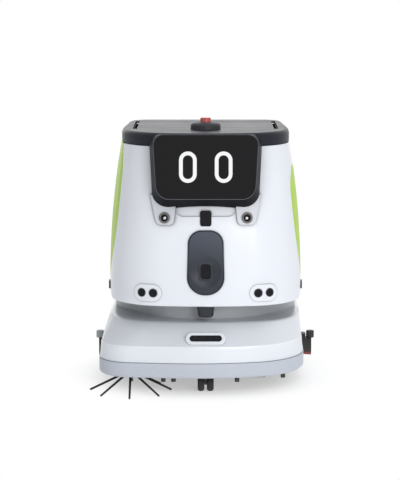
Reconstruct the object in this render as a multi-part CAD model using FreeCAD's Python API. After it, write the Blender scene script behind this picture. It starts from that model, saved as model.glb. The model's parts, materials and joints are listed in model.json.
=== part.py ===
"""Self-driving floor-cleaning robot, modelled as separate pieces in millimetres.

The robot faces -Y and stands on the floor, Z = 0. +Z is up and +X is the robot's left hand.
The origin is on the floor under the middle of the machine.
"""

import FreeCAD, Part
import math
import os

V = FreeCAD.Vector
os.makedirs("parts", exist_ok=True)

# Heights, from the floor up
FLOOR_GAP = 46.0            # under the bumper
BUMPER_HEIGHT = 39.0
SEAM_GAP = 1.0              # open joint between bumper and base shell
BASE_FRONT_HEIGHT = 40.0    # upright front of the base, up to the crease
NOSE_RISE = 54.0            # sloping nose above the crease
SCAN_GAP = 43.0             # open gap that the scanner looks out of
BODY_HEIGHT = 403.0         # upper body
SHADOW_GAP = 3.0            # dark line between the body and the top frame
RIM_HEIGHT = 31.0
STOP_BASE_HEIGHT = 19.0
STOP_RISE = 11.0            # the button stands this far out of its base

BASE_Z = FLOOR_GAP + BUMPER_HEIGHT + SEAM_GAP
CREASE_Z = BASE_Z + BASE_FRONT_HEIGHT
NOSE_Z = CREASE_Z + NOSE_RISE
BODY_Z = NOSE_Z + SCAN_GAP
BODY_TOP_Z = BODY_Z + BODY_HEIGHT
RIM_Z = BODY_TOP_Z + SHADOW_GAP
DECK_Z = RIM_Z + RIM_HEIGHT

# Walls and clearances
WALL = 5.0                  # moulded shells
REVEAL = 0.6                # visible gap between neighbouring covers
SEAT = 0.2                  # gap round a piece let into a shell
RUN = 0.06                  # radial clearance of a running fit
FREE = 0.3                  # gap between faces that move past each other

# Upper body: reach of the lower edge, and how the plan changes with height
BODY_HALF = 255.0
BODY_FRONT = 252.0
BODY_REAR = 262.0
WIDEST_Y = 22.0
REAR_IN = 12.0              # the rear corners stand in from the widest place
BODY_FRONT_R = 700.0
BODY_CORNER_R = 150.0
BODY_SIDE_R = 600.0
BODY_REAR_R = 60.0
BODY_PLANS = [              # rise, side leans in, corner in from the side, front set back, corner set back
    (0.0, 0.0, 20.0, 0.0, 30.0),
    (110.0, 1.0, 24.0, 4.0, 28.0),
    (258.0, 11.0, 28.0, 17.0, 25.0),
    (BODY_HEIGHT, 33.0, 16.0, 46.0, 16.0),
]
BODY_EDGE_R = 4.0           # rounding of the body's lower edge
SPLIT_Y = 190.0             # the front shell and the side panels meet the rear cover here

# Lime side panels
PANEL_TOP_Y = -72.0         # front edge of the right panel at the height of the deck
PANEL_STEP_Y = 96.0         # the left panel steps back to here
PANEL_STEP_RISE = 342.0     # at this rise above the body's lower edge
PANEL_STEP_R = 60.0
PANEL_FRONT = [             # front edge from the top down: y, rise above the body's lower edge, rounding
    (-116.0, 339.0, 70.0),
    (-134.0, 217.0, 350.0),
    (-118.0, 125.0, 90.0),
    (-18.0, 42.0, 50.0),
]

# Service panel at the rear
SERVICE_WIDTH = 300.0
SERVICE_HEIGHT = 250.0
SERVICE_R = 24.0
SERVICE_RISE = 190.0        # its middle above the body's lower edge
SERVICE_PROUD = 1.5
VENT_COUNT = 7
VENT_LENGTH = 170.0
VENT_WIDTH = 6.0
VENT_PITCH = 14.0

# Base plan. The right front corner is fuller, for the side brush.
BASE_FRONT = 298.0
BASE_LEFT = 256.0
BASE_RIGHT = 272.0
BASE_REAR_HALF = 244.0
BASE_LEFT_CORNER_Y = -248.0
BASE_RIGHT_CORNER_Y = -268.0
BASE_FRONT_R = 600.0
BASE_LEFT_CORNER_R = 170.0
BASE_RIGHT_CORNER_R = 88.0
BASE_LEFT_IN = 5.0          # the left front corner stands in from the side
BASE_LEFT_Y = -20.0         # where the sides turn towards the rear
BASE_LEFT_R = 400.0
BASE_RIGHT_Y = -60.0
BASE_RIGHT_IN = 1.0         # the right side stands in from its front corner
BASE_RIGHT_R = 300.0
BASE_TAPER = 3.0            # the upright front leans in this much up to the crease
CREASE_REACH = 5.0          # the rounding runs this far each side of the crease
CREASE_STEPS = 5
NOSE_FRONT = 228.0          # reach of the nose's upper edge
NOSE_HALF = 250.0
NOSE_FRONT_R = 500.0
NOSE_CORNER_IN = 30.0
NOSE_CORNER_BACK = 34.0
NOSE_CORNER_R = 130.0
NOSE_EDGE_REACH = 8.0       # the nose's upper edge is rounded over this far each side
NOSE_EDGE_STEPS = 4
BASE_OPENING_HALF = 180.0   # opening in the top of the base, under the waist
BASE_OPENING_Y = (-60.0, 225.0)
BASE_OPENING_R = 20.0
BOSS_R = 9.0
BOSS_FRONT = [(150.0, -190.0), (-120.0, -190.0)]
BOSS_SIDE_IN = 27.0         # screw bosses stand in from the base's left side
BOSS_REAR_IN = 41.0
WAIST_FRONT = 184.0
WAIST_FRONT_R = 300.0
WAIST_SHOULDER_X = 120.0    # the waist turns back towards the sides here
WAIST_SHOULDER_Y = -158.0
WAIST_SHOULDER_R = 140.0
WAIST_HALF = 241.0
WAIST_SIDE_Y = 2.0
WAIST_SIDE_R = 120.0
WAIST_REAR_IN = 5.0

# Bumper
BUMPER_PROUD = 2.0
BUMPER_WALL = 7.0
BUMPER_EDGE_R = 10.0
BUMPER_END_Y = 95.0
BUMPER_TRAVEL = 8.0
GUIDE_X = 145.0
GUIDE_PIN_R = 4.0
GUIDE_LUG = 16.0            # side of the square lug
GUIDE_LUG_Y = -235.0        # rear face of the lug at rest
GUIDE_HOLD = 11.0           # length of pin inside the lug at rest
GUIDE_BLOCK_T = 16.0

# Depth sensor in the nose
NOSE_SENSOR_RISE = 19.5     # its middle above the crease
NOSE_SENSOR_TILT = 32.0
NOSE_SENSOR_FRAME = (102.0, 33.0)
NOSE_SENSOR_SLOT = (82.0, 17.0)
NOSE_SENSOR_PROUD = 4.0
NOSE_SENSOR_DEPTH = 14.0
NOSE_SENSOR_EDGE_R = 2.5
NOSE_WINDOW_SUNK = 1.5

# Screen
SCREEN_DOWN = 92.0          # its middle below the deck
SCREEN_REACH = 229.6        # its middle ahead of the origin
SCREEN_TILT = 10.0
SCREEN_WIDTH = 288.0
SCREEN_HEIGHT = 191.0
SCREEN_TOP_R = 30.0
SCREEN_LOW_R = 44.0
SCREEN_WAIST = 10.0         # the lower corners stand in from the upper ones
SCREEN_BEVEL_SIDE = 8.0     # how far the front face stands in from the back, at the sides
SCREEN_BEVEL_TOP = 3.0
SCREEN_BEVEL_LOW = 22.0
SCREEN_SUNK = 25.0          # depth behind the screen plane
SCREEN_PROUD = 10.0
SCREEN_SHELL = 6.0
GLASS_EDGE = 3.0
GLASS_T = 3.0
CHIN_HALF = 104.0           # the lower edge is scooped over this half width
CHIN_RISE = 8.0
BOARD_IN = (39.0, 37.5)     # the board stands in from the screen's sides, and from its top and bottom
BOARD_T = 1.6
STANDOFF = 12.0
STANDOFF_R = 4.0

# Cameras below the screen, measured from the screen's middle
POD_X = 104.0
POD_DOWN = 119.0
POD_OUTLINE = [             # pad round a lens, up to behind the screen: towards the outside, up, rounding
    (38.0, 60.0, 0.0),
    (20.0, -18.0, 14.0),
    (-24.0, -18.0, 12.0),
    (-29.0, 34.0, 0.0),
]
POD_PROUD = 5.0
POD_DEPTH = 9.0
CAMERA_R = 14.0
LENS_R = 9.0
CAMERA_PROUD = 3.0          # the ring stands this far out of its pod
RING_BEVEL = 2.0
FRONT_CAMERA_DOWN = 120.0
FRONT_CAMERA_WIDTH = 28.0
FRONT_CAMERA_HEIGHT = 39.0
FRONT_CAMERA_R = 6.0
FRONT_CAMERA_PROUD = 1.0
FRONT_LENS_R = 7.0
CHEEK_DEPTH = 2.5           # shallow hollow between the pods
CHEEK_HALF = 78.0
CHEEK_HEIGHT = 44.0
CHEEK_UP = 26.0             # its middle above the front camera's

# Pill-shaped sensor panel
PILL_DOWN = 112.0           # its middle below the front camera's
PILL_HALF_HEIGHT = 82.0
PILL_TOP_HALF = 44.0
PILL_LOW_HALF = 48.0
PILL_TOP_R = 34.0
PILL_LOW_R = 44.0
PILL_PROUD = 2.0
PILL_DEPTH = 15.0
DISH_DOWN = 23.0            # middle of the dish below the pill's
DISH_R = 42.0
DISH_DEPTH = 9.0
WINDOW_WIDTH = 26.0
WINDOW_HEIGHT = 38.0
WINDOW_R = 8.0
WINDOW_PROUD = 1.8
WINDOW_COLLAR = 5.0         # width of the raised collar round the window
COLLAR_PROUD = 2.0          # the collar stands this far above the window

# Distance sensors
SONAR_RISE = 34.0
SONAR_X = 148.0
SONAR_PITCH = 29.0
SONAR_R = 11.0
SONAR_PAD_WIDTH = 74.0
SONAR_PAD_HEIGHT = 43.0
SONAR_PAD_PROUD = 1.2
SONAR_PROUD = 2.2
SONAR_RIM = 2.0
SONAR_DEPTH = 10.0
SIDE_SENSOR_WIDTH = 44.0
SIDE_SENSOR_HEIGHT = 20.0
SIDE_SENSOR_R = 9.0
SIDE_SENSOR_Y = 4.0
SIDE_SENSOR_RISE = 18.0
SIDE_SENSOR_PROUD = 4.0

# Scanner that hangs in the gap
LIDAR_Y = -212.0
LIDAR_TOP_R = 22.5
LIDAR_LOW_R = 19.5
LIDAR_DROP = 31.0
LIDAR_WALL = 3.5
LIDAR_EDGE_R = 6.0
ROTOR_R = 12.0
ROTOR_HEIGHT = 14.0
ROTOR_FLAT = 2.5            # depth of the flat in front of its lens
SPINDLE_R = 2.5
BELLY_T = 4.0

# Top frame and lid
RIM_R = 16.0
RIM_WALL = 10.0
DECK_T = 10.0
RIM_LIP = 8.0
LID_HALF = 179.0
LID_FRONT_Y = -16.0
LID_HINGE_Y = 166.0
LID_SLOT = 7.0              # finger slot each side of the lid
SLOT_Y = (-45.0, 190.0)
SLOT_DEPTH = 14.0
LID_GAP = 1.0
LID_RIB = 6.0
LID_SKIN = 4.0
LID_CELLS_ACROSS = 3        # hollows between the ribs under the lid
LID_CELLS_DEEP = 2
HINGE_PIN_R = 2.0
WELL_DEPTH = 46.0           # collar round the lid opening
WELL_WALL = 4.0

# Emergency stop
STOP_Y = -58.0
STOP_BASE_R = 39.0
STOP_SIDE = 11.0            # upright side of the base
STOP_SHOULDER_R = 35.0      # above the side the base slopes in to here
STOP_SHOULDER = 15.5        # height of the shoulder above the deck
STOP_TOP_R = 21.0           # and from the shoulder to here, level with the button's collar
STOP_DOME_R = 4.0
STOP_R = 14.0
STOP_TRAVEL = 5.0
STOP_HEAD = 20.0

# Inside the upper body
TANK_HALF = 185.0
TANK_Y = (-70.0, 178.0)
TANK_R = 25.0
CLEAN_TANK_HEIGHT = 176.0
TANK_GAP = 0.3
MOUTH_R = 60.0
MOUTH_HEIGHT = 14.0
CAP_HEIGHT = 9.0
CAP_FLOOR = 3.0             # floor of the two hollows beside the cap's grip
CAP_GRIP = 12.0
CAP_DISH = 37.0
CAP_ROOM = 14.0             # free height between the cap and the lid
VACUUM_X = 95.0
VACUUM_Y = -140.0
VACUUM_R = 60.0
VACUUM_NECK_R = 48.0
VACUUM_CAP_R = 36.0
VACUUM_HEIGHT = 105.0
PUMP_X = -100.0
PUMP_Y = -135.0
PUMP_SIZE = (84.0, 60.0, 66.0)
PUMP_HEAD_R = 24.0
PUMP_EDGE_R = 6.0
BATTERY_HALF = 138.0
BATTERY_Y = (10.0, 158.0)
BATTERY_HEIGHT = 125.0
BATTERY_EDGE_R = 8.0
GRIP_SIZE = (80.0, 28.0, 16.0)

# Chassis and wheels
PLATE_Z = 72.0
PLATE_T = 6.0
PLATE_INSET = 16.0
PLATE_REAR_Y = 192.0
PLATE_HOLE_R = 6.0
WHEEL_R = 85.0
WHEEL_WIDTH = 40.0
WHEEL_X = 205.0
WHEEL_Y = 70.0
WHEEL_ROOM = 5.0
HUB_R = 66.0
HUB_IN = 2.0                # the hub stands in from the tyre's sides
HUB_DISH = 5.0
HUB_CAP_R = 20.0
HUB_POCKETS = 5
HUB_POCKET_R = 9.0
HUB_POCKET_REACH = 40.0
TYRE_EDGE_R = 7.0
AXLE_R = 8.0
BRACKET_T = 6.0
BRACKET_HALF = 35.0
BRACKET_RISE = 46.0
BRACKET_FOOT = 26.0
CASTER_Y = -240.0
CASTER_TRAIL = 20.0
CASTER_R = 25.0
CASTER_WIDTH = 17.6
CASTER_WEB = 5.6            # thickness of the web between the wheels
CASTER_WEB_HALF = 8.0
CASTER_WEB_FRONT = 17.0
CASTER_WEB_REAR = 23.0
CASTER_AXLE_R = 4.0
CASTER_STEM_R = 8.0
CASTER_BEARING_R = 30.0
CASTER_BEARING_T = 12.0
BEARING_EDGE_R = 3.0
CASTER_HEAD_R = 24.0
CASTER_HEAD_T = 5.0

# Cliff sensors under the front, as x and y
CLIFF_SPOTS = [(-108.0, -250.0), (-82.0, -250.0), (80.0, -250.0), (199.0, -199.0)]
CLIFF_R = 6.0
CLIFF_FOOT_R = 8.0
CLIFF_FOOT = 5.0
CLIFF_Z = 31.0

# Side brush
SIDE_BRUSH_X = -192.0
SIDE_BRUSH_Y = -219.0
SIDE_HUB_R = 22.0
SIDE_HUB_Z = 43.0
SIDE_HUB_T = 14.0
SIDE_SHAFT_R = 5.0
SIDE_SHAFT_GRIP = 18.0      # length of shaft inside the motor
SIDE_MOTOR_R = 24.0
SIDE_MOTOR_HEIGHT = 48.0
SIDE_FLANGE_R = 30.0
SIDE_FLANGE_T = 6.0
TUFT_COUNT = 8
TUFT_FIRST = 180.0          # angle of the first tuft
TUFT_ROOT_REACH = 16.0
TUFT_TIP_REACH = 105.0
TUFT_ROOT_R = 3.2
TUFT_TIP_R = 2.6
TUFT_TIP_Z = 2.8

# Scrubbing roller and its lifting deck
ROLLER_Y = -58.0
ROLLER_R = 42.0
ROLLER_HALF = 158.0
ROLLER_CORE_R = 20.0
ROLLER_CLEAR = 0.6          # bristles above the floor
JOURNAL_R = 6.0
TUNNEL_R = 49.0
TUNNEL_T = 5.0
TUNNEL_HALF = 172.0
TUNNEL_END_T = 6.0
TUNNEL_SKIRT = 17.0
TUNNEL_ROOM = 6.0           # free width round the deck in the chassis
DECK_LIFT = 18.0
ROD_X = 120.0
ROD_Y = -134.0
ROD_R = 5.0
ROD_SPARE = 12.0
EAR_HALF = 12.0
EAR_T = 6.0
EAR_UP = 6.0                # ears above the chassis plate at rest
DRIVE_R = 26.0
DRIVE_HALF = 70.0
DRIVE_SUNK = 2.0
CRADLE_LENGTH = 112.0
CRADLE_HALF = 18.0

# Squeegee
PIVOT_Y = 165.0
PIVOT_Z = 63.0
PIVOT_R = 4.0
PIVOT_BARREL_R = 7.0
PIVOT_HALF = 60.0
PIVOT_LUG_T = 10.0
ARM_T = 6.0
ARM_TIP_HALF = 34.0
ARM_TIP_R = 12.0
ARM_WINDOW_Y = (189.0, 249.0)
ARM_WINDOW_HALF = (36.0, 24.0)
ARM_WINDOW_R = 8.0
SQUEEGEE_HALF = 297.0
SQUEEGEE_MID_Y = 308.0
SQUEEGEE_END_Y = 246.0
SQUEEGEE_DEPTH = 28.0
SQUEEGEE_LOW_Z = 9.0
BLADE_T = 3.0
BLADE_IN = 5.0              # blades stand in from the bar's faces
BLADE_CLEAR = 0.6           # blades above the floor
BLADE_TOP_Z = 36.0
END_ROLLER_IN = 3.0         # the end rollers' pins stand in from the bar's ends
END_ROLLER_R = 11.0
END_ROLLER_HEIGHT = 20.0
END_PIN_R = 3.0
END_ROLLER_EDGE = 2.0
END_STEP_Z = 48.0           # the rollers stand on the bar's lower part
END_ROOM = 2.0              # between a roller and the bar's upper part
SUCTION_Y = 294.0
SUCTION_R = 20.0
SUCTION_BOSS_T = 6.0
BELLOWS_R = 24.0
BELLOWS_WALL = 2.0
BELLOWS_FOLDS = 6
ELBOW_Z = 146.0
ELBOW_FLANGE_R = 27.0
ELBOW_FLANGE_T = 4.0

# Charging contacts at the rear
CONTACT_X = 95.0
CONTACT_SIZE = (30.0, 2.5, 24.0)
CONTACT_Z = 112.0

FAR = 1000.0                # longer than the robot, for cutting tools
CLOSE = 0.01                # points nearer than this count as one
NEARLY = 0.998              # share of a full half circle used for a rounded end


# Turns a shape drawn flat so that its outline lies in the YZ plane
ACROSS = FreeCAD.Rotation(V(0, 1, 0), V(0, 0, 1), V(1, 0, 0), "ZXY")


# Helpers

def save(name, *solids):
    """Write one sub-part, which may be a group of separate solids."""
    shape = solids[0] if len(solids) == 1 else Part.makeCompound(list(solids))
    if not shape.isValid():
        raise ValueError(name + " is not a valid shape")
    shape.exportStep("parts/" + name + ".step")
    print(name, len(shape.Solids), "solids", round(shape.Volume / 1000.0, 2), "cm3")


def lift(point, z):
    return V(point.x, point.y, z)


def anticlockwise(corners):
    area = sum(a[0] * b[1] - b[0] * a[1] for a, b in zip(corners, corners[1:] + corners[:1]))
    return corners if area > 0 else corners[::-1]


def rounded_wire(corners, z=0.0, inset=0.0):
    """Closed wire through (x, y, radius) corners, each rounded by an arc tangent to its two sides.

    A positive inset shrinks the whole outline by that distance, a negative one grows it.
    """
    corners = anticlockwise(corners)
    count = len(corners)
    lines = []
    for i in range(count):
        a = V(corners[i][0], corners[i][1], 0)
        b = V(corners[(i + 1) % count][0], corners[(i + 1) % count][1], 0)
        along = (b - a).normalize()
        lines.append((a + V(-along.y, along.x, 0) * inset, along))
    arcs = []
    for i in range(count):
        p, d = lines[i - 1]
        q, e = lines[i]
        cross = d.x * e.y - d.y * e.x
        corner = p + d * (((q - p).x * e.y - (q - p).y * e.x) / cross)
        turn = math.atan2(cross, d.dot(e))
        radius = corners[i][2]
        if radius:
            radius = radius - math.copysign(inset, turn)
        reach = radius * math.tan(abs(turn) / 2)
        middle = corner + (e - d).normalize() * (radius / math.cos(turn / 2) - radius)
        arcs.append((corner - d * reach, middle, corner + e * reach))
    edges = []
    for i in range(count):
        start, middle, end = [lift(point, z) for point in arcs[i]]
        if (end - start).Length > CLOSE:
            edges.append(Part.Arc(start, middle, end).toShape())
        edges.append(Part.LineSegment(end, lift(arcs[(i + 1) % count][0], z)).toShape())
    return Part.Wire(edges)


def prism(corners, z0, z1, inset=0.0):
    return Part.Face(rounded_wire(corners, z0, inset)).extrude(V(0, 0, z1 - z0))


def rectangle(width, height, radius):
    x = width / 2
    y = height / 2
    return [(-x, -y, radius), (x, -y, radius), (x, y, radius), (-x, y, radius)]


def stadium(width, height):
    """Long rounded outline. Its ends are a hair short of full half circles, so straight sides remain."""
    return rectangle(width, height, min(width, height) / 2 * NEARLY)


def block(x, y, z, radius=0.0):
    """Box between pairs of limits, with its upright edges rounded."""
    corners = [(x[0], y[0], radius), (x[1], y[0], radius), (x[1], y[1], radius), (x[0], y[1], radius)]
    return prism(corners, z[0], z[1])


def rod(start, end, radius):
    return Part.makeCylinder(radius, (end - start).Length, start, end - start)


def turned(profile, origin, axis):
    """Solid of revolution of (radius, height) points about an axis."""
    side = V(1, 0, 0) if abs(axis.z) > 0.5 else V(0, 0, 1)
    points = [origin + side * r + axis * h for r, h in profile]
    return Part.Face(Part.makePolygon(points + points[:1])).revolve(origin, axis, 360)


def mirrored(shape):
    return shape.mirror(V(0, 0, 0), V(1, 0, 0))


def placed(shape, origin, outward, across=V(1, 0, 0)):
    """Set a shape drawn flat, facing +Z, on a surface that faces outward."""
    z = V(outward).normalize()
    x = (across - z * z.dot(across)).normalize()
    shape = shape.copy()
    shape.Placement = FreeCAD.Placement(origin, FreeCAD.Rotation(x, z.cross(x), z, "ZXY"))
    return shape


def edges_at(shape, z):
    """Edges that lie flat at one height."""
    flat = [e for e in shape.Edges if all(abs(v.Z - z) < CLOSE for v in e.Vertexes)]
    return [e for e in flat if abs(e.CenterOfMass.z - z) < CLOSE]


def ring_edges(shape, z, x=0.0, y=0.0):
    """Edges at one height whose middles lie about a place."""
    middles = [(e, e.CenterOfMass) for e in edges_at(shape, z)]
    return [e for e, middle in middles if abs(middle.x - x) < FREE and abs(middle.y - y) < FREE]


# The upper body's form

def body_corners(plan):
    rise, lean, corner_in, set_back, corner_back = plan
    side = BODY_HALF - lean
    front = set_back - BODY_FRONT
    half = [
        (side - corner_in, front + corner_back, BODY_CORNER_R),
        (side, WIDEST_Y, BODY_SIDE_R),
        (side - REAR_IN, BODY_REAR, BODY_REAR_R),
    ]
    other = [(-x, y, r) for x, y, r in reversed(half)]
    return [(0.0, front, BODY_FRONT_R)] + half + other


def body_form(inset=0.0):
    """The tapering form of the upper body, shrunk by inset."""
    wires = [rounded_wire(body_corners(plan), BODY_Z + plan[0], inset) for plan in BODY_PLANS]
    return Part.makeLoft(wires, True, False)


BODY = body_form()
INSIDE = body_form(WALL)


def layer(outline_solid, proud, depth):
    """The part of a prism that follows the body's surface, from proud of it to a depth under it."""
    return outline_solid.common(body_form(-proud)).cut(body_form(depth))


def front_depth(x, z):
    line = Part.LineSegment(V(x, -FAR, z), V(x, 0, z)).toShape()
    return min(v.Y for v in BODY.common(line).Vertexes)


def front_spot(x, z):
    """Point on the body's front and the outward direction there."""
    step = 2.0
    here = V(x, front_depth(x, z), z)
    along_x = V(x + step, front_depth(x + step, z), z) - here
    along_z = V(x, front_depth(x, z + step), z + step) - here
    return here, along_x.cross(along_z)


def on_front(shape, x, z):
    spot, outward = front_spot(x, z)
    return placed(shape, spot, outward)


def side_prism(corners, side, inset=0.0):
    """Prism through one side wall, from an outline given as y, z and radius."""
    solid = prism(corners, BODY_HALF / 4, BODY_HALF * 1.5, inset)
    solid.Placement = FreeCAD.Placement(V(0, 0, 0), ACROSS)
    return solid if side > 0 else mirrored(solid)


# Screen, which the body and the top frame make room for

SCREEN_Z = DECK_Z - SCREEN_DOWN
SCREEN_SPOT = V(0, -SCREEN_REACH, SCREEN_Z)
SCREEN_FACING = V(0, -math.cos(math.radians(SCREEN_TILT)), math.sin(math.radians(SCREEN_TILT)))


def screen_outline(side_in, top_in, low_in):
    """Outline of the screen, drawn in from its full size at the sides, the top and the bottom."""
    top_x = SCREEN_WIDTH / 2 - side_in
    low_x = top_x - SCREEN_WAIST
    top = SCREEN_HEIGHT / 2 - top_in
    low = low_in - SCREEN_HEIGHT / 2
    low_r = SCREEN_LOW_R - side_in
    top_r = SCREEN_TOP_R - top_in
    return [(-low_x, low, low_r), (low_x, low, low_r), (top_x, top, top_r), (-top_x, top, top_r)]


def screen_front_outline():
    return screen_outline(SCREEN_BEVEL_SIDE, SCREEN_BEVEL_TOP, SCREEN_BEVEL_LOW)


def screen_block(grow=0.0):
    """Bevelled slab of the screen, with its scooped lower edge, in its own flat frame."""
    back = rounded_wire(screen_outline(0, 0, 0), -SCREEN_SUNK, -grow)
    front = rounded_wire(screen_front_outline(), SCREEN_PROUD, -grow)
    slab = Part.makeLoft([back, front], True, True)
    scoop_r = (CHIN_HALF ** 2 + CHIN_RISE ** 2) / (2 * CHIN_RISE)
    scoop_y = CHIN_RISE - SCREEN_HEIGHT / 2 - scoop_r - grow
    scoop = Part.makeCylinder(scoop_r, 2 * SCREEN_SUNK, V(0, scoop_y, -SCREEN_SUNK))
    return slab.cut(scoop)


def on_screen(shape):
    return placed(shape, SCREEN_SPOT, SCREEN_FACING)


def make_screen():
    housing = screen_block()
    glass = prism(screen_front_outline(), SCREEN_PROUD - GLASS_T, SCREEN_PROUD, GLASS_EDGE)
    floor = SCREEN_PROUD - GLASS_T - SCREEN_SHELL
    hollow = prism(screen_front_outline(), -SCREEN_SUNK, floor, GLASS_EDGE + SCREEN_SHELL)
    save("screen_housing", on_screen(housing.cut(glass).cut(hollow)))
    save("screen_glass", on_screen(glass))
    board_z = floor - STANDOFF
    wide = SCREEN_WIDTH - 2 * BOARD_IN[0]
    tall = SCREEN_HEIGHT - 2 * BOARD_IN[1]
    board = prism(rectangle(wide, tall, STANDOFF_R), board_z - BOARD_T, board_z)
    inset = 2 * STANDOFF_R
    for x in (inset - wide / 2, wide / 2 - inset):
        for y in (inset - tall / 2, tall / 2 - inset):
            board = board.fuse(Part.makeCylinder(STANDOFF_R, STANDOFF, V(x, y, board_z)))
    save("control_board", on_screen(board))


# Pieces let into the body's front

POD_Z = SCREEN_Z - POD_DOWN
FRONT_CAMERA_Z = SCREEN_Z - FRONT_CAMERA_DOWN
PILL_Z = FRONT_CAMERA_Z - PILL_DOWN
SONAR_Z = BODY_Z + SONAR_RISE
THROUGH = 40.0              # half length of a prism that passes through the front wall


def pod_prism(side, grow=0.0):
    outline = [(side * out, up, radius) for out, up, radius in POD_OUTLINE]
    return on_front(prism(outline, -THROUGH, THROUGH, -grow), side * POD_X, POD_Z)


def make_cameras():
    pods = []
    rings = []
    lenses = []
    ring_top = POD_PROUD + CAMERA_PROUD
    bevel_z = ring_top - RING_BEVEL
    ring = turned(
        [(LENS_R, -POD_DEPTH), (CAMERA_R, -POD_DEPTH), (CAMERA_R, bevel_z),
         (CAMERA_R - RING_BEVEL, ring_top), (LENS_R + RING_BEVEL, ring_top), (LENS_R, bevel_z)],
        V(0, 0, 0), V(0, 0, 1))
    dome = Part.makeSphere(2 * LENS_R, V(0, 0, bevel_z - 2 * LENS_R))
    barrel = Part.makeCylinder(LENS_R, POD_DEPTH + bevel_z, V(0, 0, -POD_DEPTH))
    lens = barrel.common(dome.fuse(Part.makeCylinder(LENS_R, POD_DEPTH, V(0, 0, -POD_DEPTH))))
    room = on_screen(screen_block(SEAT))
    for side in (1, -1):
        bore = on_front(Part.makeCylinder(CAMERA_R, 2 * THROUGH, V(0, 0, -THROUGH)), side * POD_X, POD_Z)
        pods.append(layer(pod_prism(side), POD_PROUD, WALL).cut(room).cut(bore))
        rings.append(on_front(ring, side * POD_X, POD_Z))
        lenses.append(on_front(lens.removeSplitter(), side * POD_X, POD_Z))
    outline = rectangle(FRONT_CAMERA_WIDTH, FRONT_CAMERA_HEIGHT, FRONT_CAMERA_R)
    housing = prism(outline, -POD_DEPTH, FRONT_CAMERA_PROUD)
    front_lens = Part.makeCylinder(FRONT_LENS_R, POD_DEPTH, V(0, 0, FRONT_CAMERA_PROUD - POD_DEPTH))
    housing = on_front(housing.cut(front_lens), 0, FRONT_CAMERA_Z)
    lenses.append(on_front(front_lens, 0, FRONT_CAMERA_Z))
    save("camera_pods", *pods)
    save("camera_rings", *rings)
    save("camera_lenses", *lenses)
    save("front_camera_housing", housing)


def pill_prism(grow=0.0):
    outline = [
        (-PILL_LOW_HALF, -PILL_HALF_HEIGHT, PILL_LOW_R), (PILL_LOW_HALF, -PILL_HALF_HEIGHT, PILL_LOW_R),
        (PILL_TOP_HALF, PILL_HALF_HEIGHT, PILL_TOP_R), (-PILL_TOP_HALF, PILL_HALF_HEIGHT, PILL_TOP_R),
    ]
    return on_front(prism(outline, -THROUGH, THROUGH, -grow), 0, PILL_Z)


def make_pill():
    dish_z = PILL_Z - DISH_DOWN
    ball_r = (DISH_R ** 2 + DISH_DEPTH ** 2) / (2 * DISH_DEPTH)
    ball = on_front(Part.makeSphere(ball_r, V(0, 0, PILL_PROUD - DISH_DEPTH + ball_r)), 0, dish_z)
    glass_top = PILL_PROUD - DISH_DEPTH + WINDOW_PROUD
    window = rectangle(WINDOW_WIDTH, WINDOW_HEIGHT, WINDOW_R)
    collar = on_front(prism(window, -PILL_DEPTH, glass_top + COLLAR_PROUD, -WINDOW_COLLAR), 0, dish_z)
    glass = on_front(prism(window, -PILL_DEPTH, glass_top), 0, dish_z)
    well = on_front(prism(window, glass_top, THROUGH), 0, dish_z)
    panel = layer(pill_prism(), PILL_PROUD, PILL_DEPTH).cut(ball.cut(collar))
    save("sensor_panel", panel.cut(glass).cut(well))
    return glass


def sonar_places():
    return [(side * SONAR_X + end * SONAR_PITCH / 2, SONAR_Z) for side in (1, -1) for end in (1, -1)]


def make_sonars():
    disc = Part.makeCylinder(SONAR_R, SONAR_DEPTH + SONAR_PROUD, V(0, 0, -SONAR_DEPTH))
    disc = disc.cut(Part.makeCylinder(SONAR_R - SONAR_RIM, SONAR_RIM, V(0, 0, SONAR_PROUD - SONAR_RIM / 2)))
    save("sonar_transducers", *[on_front(disc, x, z) for x, z in sonar_places()])


def side_sensor_prism(side, grow=0.0):
    outline = rectangle(SIDE_SENSOR_WIDTH, SIDE_SENSOR_HEIGHT, SIDE_SENSOR_R)
    z = BODY_Z + SIDE_SENSOR_RISE
    return side_prism([(SIDE_SENSOR_Y + y, z + h, r) for y, h, r in outline], side, -grow)


# Shell pieces of the upper body

def panel_corners(side):
    above = BODY_TOP_Z + RIM_HEIGHT
    top = [(PANEL_TOP_Y, above, 0)]
    if side > 0:
        top = [(PANEL_STEP_Y, above, 0), (PANEL_STEP_Y, BODY_Z + PANEL_STEP_RISE, PANEL_STEP_R)]
    front = [(y, BODY_Z + rise, radius) for y, rise, radius in PANEL_FRONT]
    low = front[-1][1]
    return top + front + [(SPLIT_Y, low, 0), (SPLIT_Y, above, 0)]


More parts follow.
